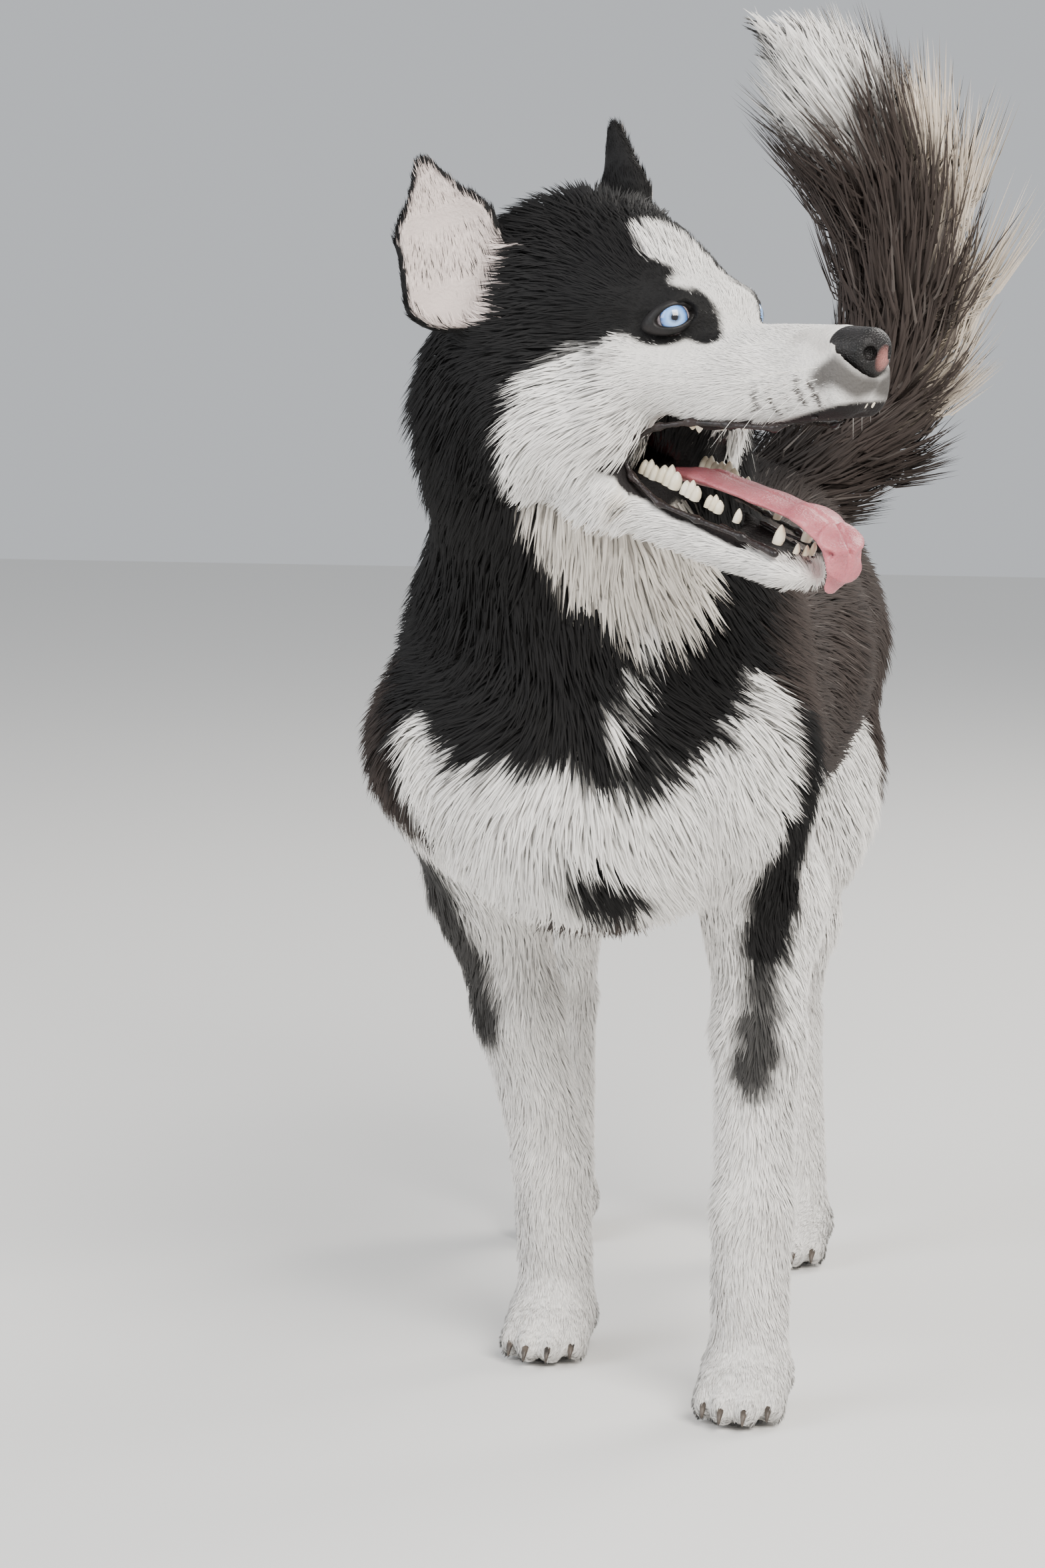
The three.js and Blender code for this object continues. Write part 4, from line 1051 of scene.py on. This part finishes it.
teeth = []
for place, places, rise in ((HEAD, UPPER_TEETH, -1), (JAW, LOWER_TEETH, 1)):
    for side in (-1, 1):
        for across, back, up, width in places:
            single = width < 4.5 or width == CORNER_WIDTH
            for step, share in ONE_POINT if single else THREE_POINTS:
                x, y = side * across, back + step * width
                root = place_of(place, (x, y, up - rise * width))
                bend = place_of(place, (x, y - 1, up))
                point = place_of(place, (x, y + width * 0.1, up + rise * width * share))
                teeth.append((root, bend, point, width * 0.6))
tooth_row = spikes("teeth", teeth, 10, TOOTH)
ivory = surface("tooth_ivory", ((0.72, 0.62, 0.44), (0.82, 0.76, 0.62)), 120, 0.2, 400, 0.0001, coat=0.4)
dress(tooth_row, ivory, "coat_pale")

# Claws: blunt dark horn, one rooted in the end of each toe and curved down to just over the floor.
# They are spikes of five rings that run out in a blunt point.
CLAW = ((0, 1), (0.4, 0.95), (0.7, 0.7), (0.92, 0.4), (1, 0.05))
claws = []
for (x, y), half in PAWS.values():
    for across, ahead in TOES:
        toe = np.array((x + across * half, y - ahead, 11.5))
        claws.append((toe + (0, -3, 1), toe + (0, -12, 3), toe + (0, -15.5, -6), 2.2))
horn = surface("claw_horn", ((0.03, 0.025, 0.022), (0.10, 0.08, 0.065)), 150, 0.38, 500, 0.0002)
dress(spikes("claws", claws, 8, CLAW), horn, "nose_leather")

# Whiskers: long stiff white hairs in three rows on each side of the muzzle, longer towards the cheek.
# They are thin three-sided spikes that bend out and back from the skin.
WHISKER = ((0, 1), (0.35, 0.85), (0.7, 0.55), (1, 0.1))
whiskers = []
for side in (-1, 1):
    for row in range(3):
        for k in range(4):
            root = np.array((side * (19 + k * 1.8), -92 + k * 10, -36 - row * 6))
            reach = 26 + 7 * k
            tip = root + (side * reach * 0.75, reach * 0.35, -reach * (0.12 + 0.2 * row))
            bend = root + (side * reach * 0.5, 0, 0)
            whiskers.append((place_of(HEAD, root), place_of(HEAD, bend), place_of(HEAD, tip), 0.3))
hair_white = surface("whisker_hair", ((0.7, 0.68, 0.64), (0.8, 0.78, 0.74)), 200, 0.4, 300, 0.0001)
dress(spikes("whiskers", whiskers, 3, WHISKER), hair_white, "coat_pale")

# Eyes: wet balls with a black pupil and an ice-blue iris, set deep in their sockets. Each is turned a little
# down and out from the way the head points, and its colours are rings round the middle of the iris. Round it
# lie the lids, an almond rim of bare black skin that rises over the ball and runs out under the fur.
EYE_RADIUS = 10.3
IRIS_REACH = 0.018
IRIS_STOPS = (
    (0.0, (0.004, 0.004, 0.006)), (0.13, (0.004, 0.004, 0.006)), (0.165, (0.10, 0.17, 0.30)),
    (0.25, (0.26, 0.46, 0.80)), (0.38, (0.14, 0.32, 0.72)), (0.47, (0.05, 0.10, 0.24)),
    (0.50, (0.02, 0.02, 0.03)), (0.54, (0.36, 0.31, 0.33)), (0.64, (0.02, 0.014, 0.013)),
)


def eye_material(name, front):
    finish = {"Roughness": 0.12, "Coat Weight": 1.0, "Coat Roughness": 0.02}
    made, nodes, links, shader, place = new_material(name, finish)
    away = nodes.new("ShaderNodeVectorMath")
    away.operation = "DISTANCE"
    away.inputs[1].default_value = front
    links.new(place, away.inputs[0])
    shaken = nodes.new("ShaderNodeMath")
    shaken.operation = "MULTIPLY_ADD"
    shaken.inputs[1].default_value = 0.0012
    links.new(grain(nodes, links, place, 700), shaken.inputs[0])
    links.new(away.outputs["Value"], shaken.inputs[2])
    scaled = nodes.new("ShaderNodeMath")
    scaled.operation = "DIVIDE"
    scaled.inputs[1].default_value = IRIS_REACH
    links.new(shaken.outputs[0], scaled.inputs[0])
    ramp = nodes.new("ShaderNodeValToRGB")
    for k, (position, colour) in enumerate(IRIS_STOPS):
        stop = ramp.color_ramp.elements[k] if k < 2 else ramp.color_ramp.elements.new(position)
        stop.position = position
        stop.color = (*colour, 1)
    links.new(scaled.outputs[0], ramp.inputs["Fac"])
    links.new(ramp.outputs["Color"], shader.inputs["Base Color"])
    return made


def eye_ball(name, eye):
    gaze = unit((eye["outward"] + 0.1 * way_of(HEAD, (SIDES[name] * 0.6, 0.1, -0.8)))[None])[0]
    bpy.ops.object.select_all(action="DESELECT")
    bpy.ops.mesh.primitive_uv_sphere_add(segments=48, ring_count=32, radius=EYE_RADIUS / 1000,
                                         location=metres(eye["middle"]))
    ball = bpy.context.object
    ball.name = f"eye_ball_{name}"
    bpy.ops.object.transform_apply(location=True, rotation=True, scale=True)
    bpy.ops.object.shade_smooth()
    front = metres(eye["middle"] + gaze * EYE_RADIUS)
    dress(ball, eye_material(f"eye_{name}", front), "eye", f"eye_{name}")


# The lids are closed rings, each given by its width, its height over the ball, and its level further out
LID_HALVES = (11.8, 5.9)
LID_RINGS = (
    (0.8, -0.4, 0), (0.9, 0.9, 0), (1.0, 0, 9.4), (1.1, 0, 9.2), (1.22, 0, 8.7), (1.34, 0, 8.0),
    (1.42, 0, 3.0),
)
LID_STEPS = 40
lid_skin = surface("lid_skin", ((0.004, 0.004, 0.004), (0.012, 0.01, 0.01)), 150, 0.55, 600, 0.0003)


def eye_lids(name, eye):
    points = []
    for widen, above, level in LID_RINGS:
        for k in range(LID_STEPS):
            angle = 2 * math.pi * k / LID_STEPS
            a = LID_HALVES[0] * widen * math.cos(angle)
            b = LID_HALVES[1] * widen * math.sin(angle) * (1 - 0.12 * math.cos(2 * angle))
            on_ball = math.sqrt(max(EYE_RADIUS ** 2 - a * a - b * b, 18)) + above
            height = level - 0.022 * a * a if level else on_ball
            points.append(eye["middle"] + eye["across"] * a + eye["up"] * b + eye["outward"] * height)
    quads = []
    for ring in range(len(LID_RINGS) - 1):
        for k in range(LID_STEPS):
            first, second = ring * LID_STEPS + k, ring * LID_STEPS + (k + 1) % LID_STEPS
            quads.append((first, second, second + LID_STEPS, first + LID_STEPS))
    lids = new_object(f"lids_{name}", metres(np.array(points)), [np.array(quads)])
    dress(lids, lid_skin, "nose_leather")


for name, eye in EYES.items():
    eye["middle"] = eye["centre"] - eye["outward"] * 0.8
    eye_ball(name, eye)
    eye_lids(name, eye)

# Floor and studio: a pale matt floor under the animal, a soft bluish sky light, and three broad lamps, the
# strongest ahead on the animal's left, one on its right and one behind it.
bpy.ops.mesh.primitive_plane_add(size=12, location=(0, 0, 0))
floor = bpy.context.object
floor.name = "floor"
pale = bpy.data.materials.new("pale_floor")
pale.use_nodes = True
pale.node_tree.nodes["Principled BSDF"].inputs["Base Color"].default_value = (0.75, 0.74, 0.72, 1)
pale.node_tree.nodes["Principled BSDF"].inputs["Roughness"].default_value = 0.8
floor.data.materials.append(pale)

world = bpy.data.worlds.new("studio")
bpy.context.scene.world = world
world.use_nodes = True
world.node_tree.nodes["Background"].inputs["Color"].default_value = (0.85, 0.88, 0.92, 1)
world.node_tree.nodes["Background"].inputs["Strength"].default_value = 0.7
LAMPS = (
    ((1.6, -2.2, 2.4), 1.8, 185, (1, 0.97, 0.92)),
    ((-2.2, -1.8, 1.8), 2.2, 75, (0.95, 0.97, 1)),
    ((1.2, 2.2, 2.2), 1.4, 70, (1, 0.96, 0.9)),
)
LAMPS_AIM = Vector((0, 0, 0.45))
for spot, size, power, tint in LAMPS:
    light_data = bpy.data.lights.new("soft_light", "AREA")
    light_data.size = size
    light_data.energy = power
    light_data.color = tint
    light = bpy.data.objects.new("soft_light", light_data)
    light.location = spot
    light.rotation_euler = (LAMPS_AIM - Vector(spot)).to_track_quat("-Z", "Y").to_euler()
    bpy.context.scene.collection.objects.link(light)

# Camera: at the photograph's height and angle, ahead of the animal on its left. Its field of view is worked
# out on the frame's long side.
CAMERA_PLACE = (591, -2794, 714)
CAMERA_TURN = 13
CAMERA_DROP = 7
FOCAL_PIXELS = 7300
LONG_SIDE = 2352
camera_data = bpy.data.cameras.new("camera")
camera_data.sensor_width = 36
camera_data.lens = FOCAL_PIXELS / LONG_SIDE * camera_data.sensor_width
camera = bpy.data.objects.new("camera", camera_data)
camera.location = metres(CAMERA_PLACE)
camera.rotation_euler = (math.radians(90 - CAMERA_DROP), 0, math.radians(CAMERA_TURN))
bpy.context.scene.collection.objects.link(camera)
bpy.context.scene.camera = camera
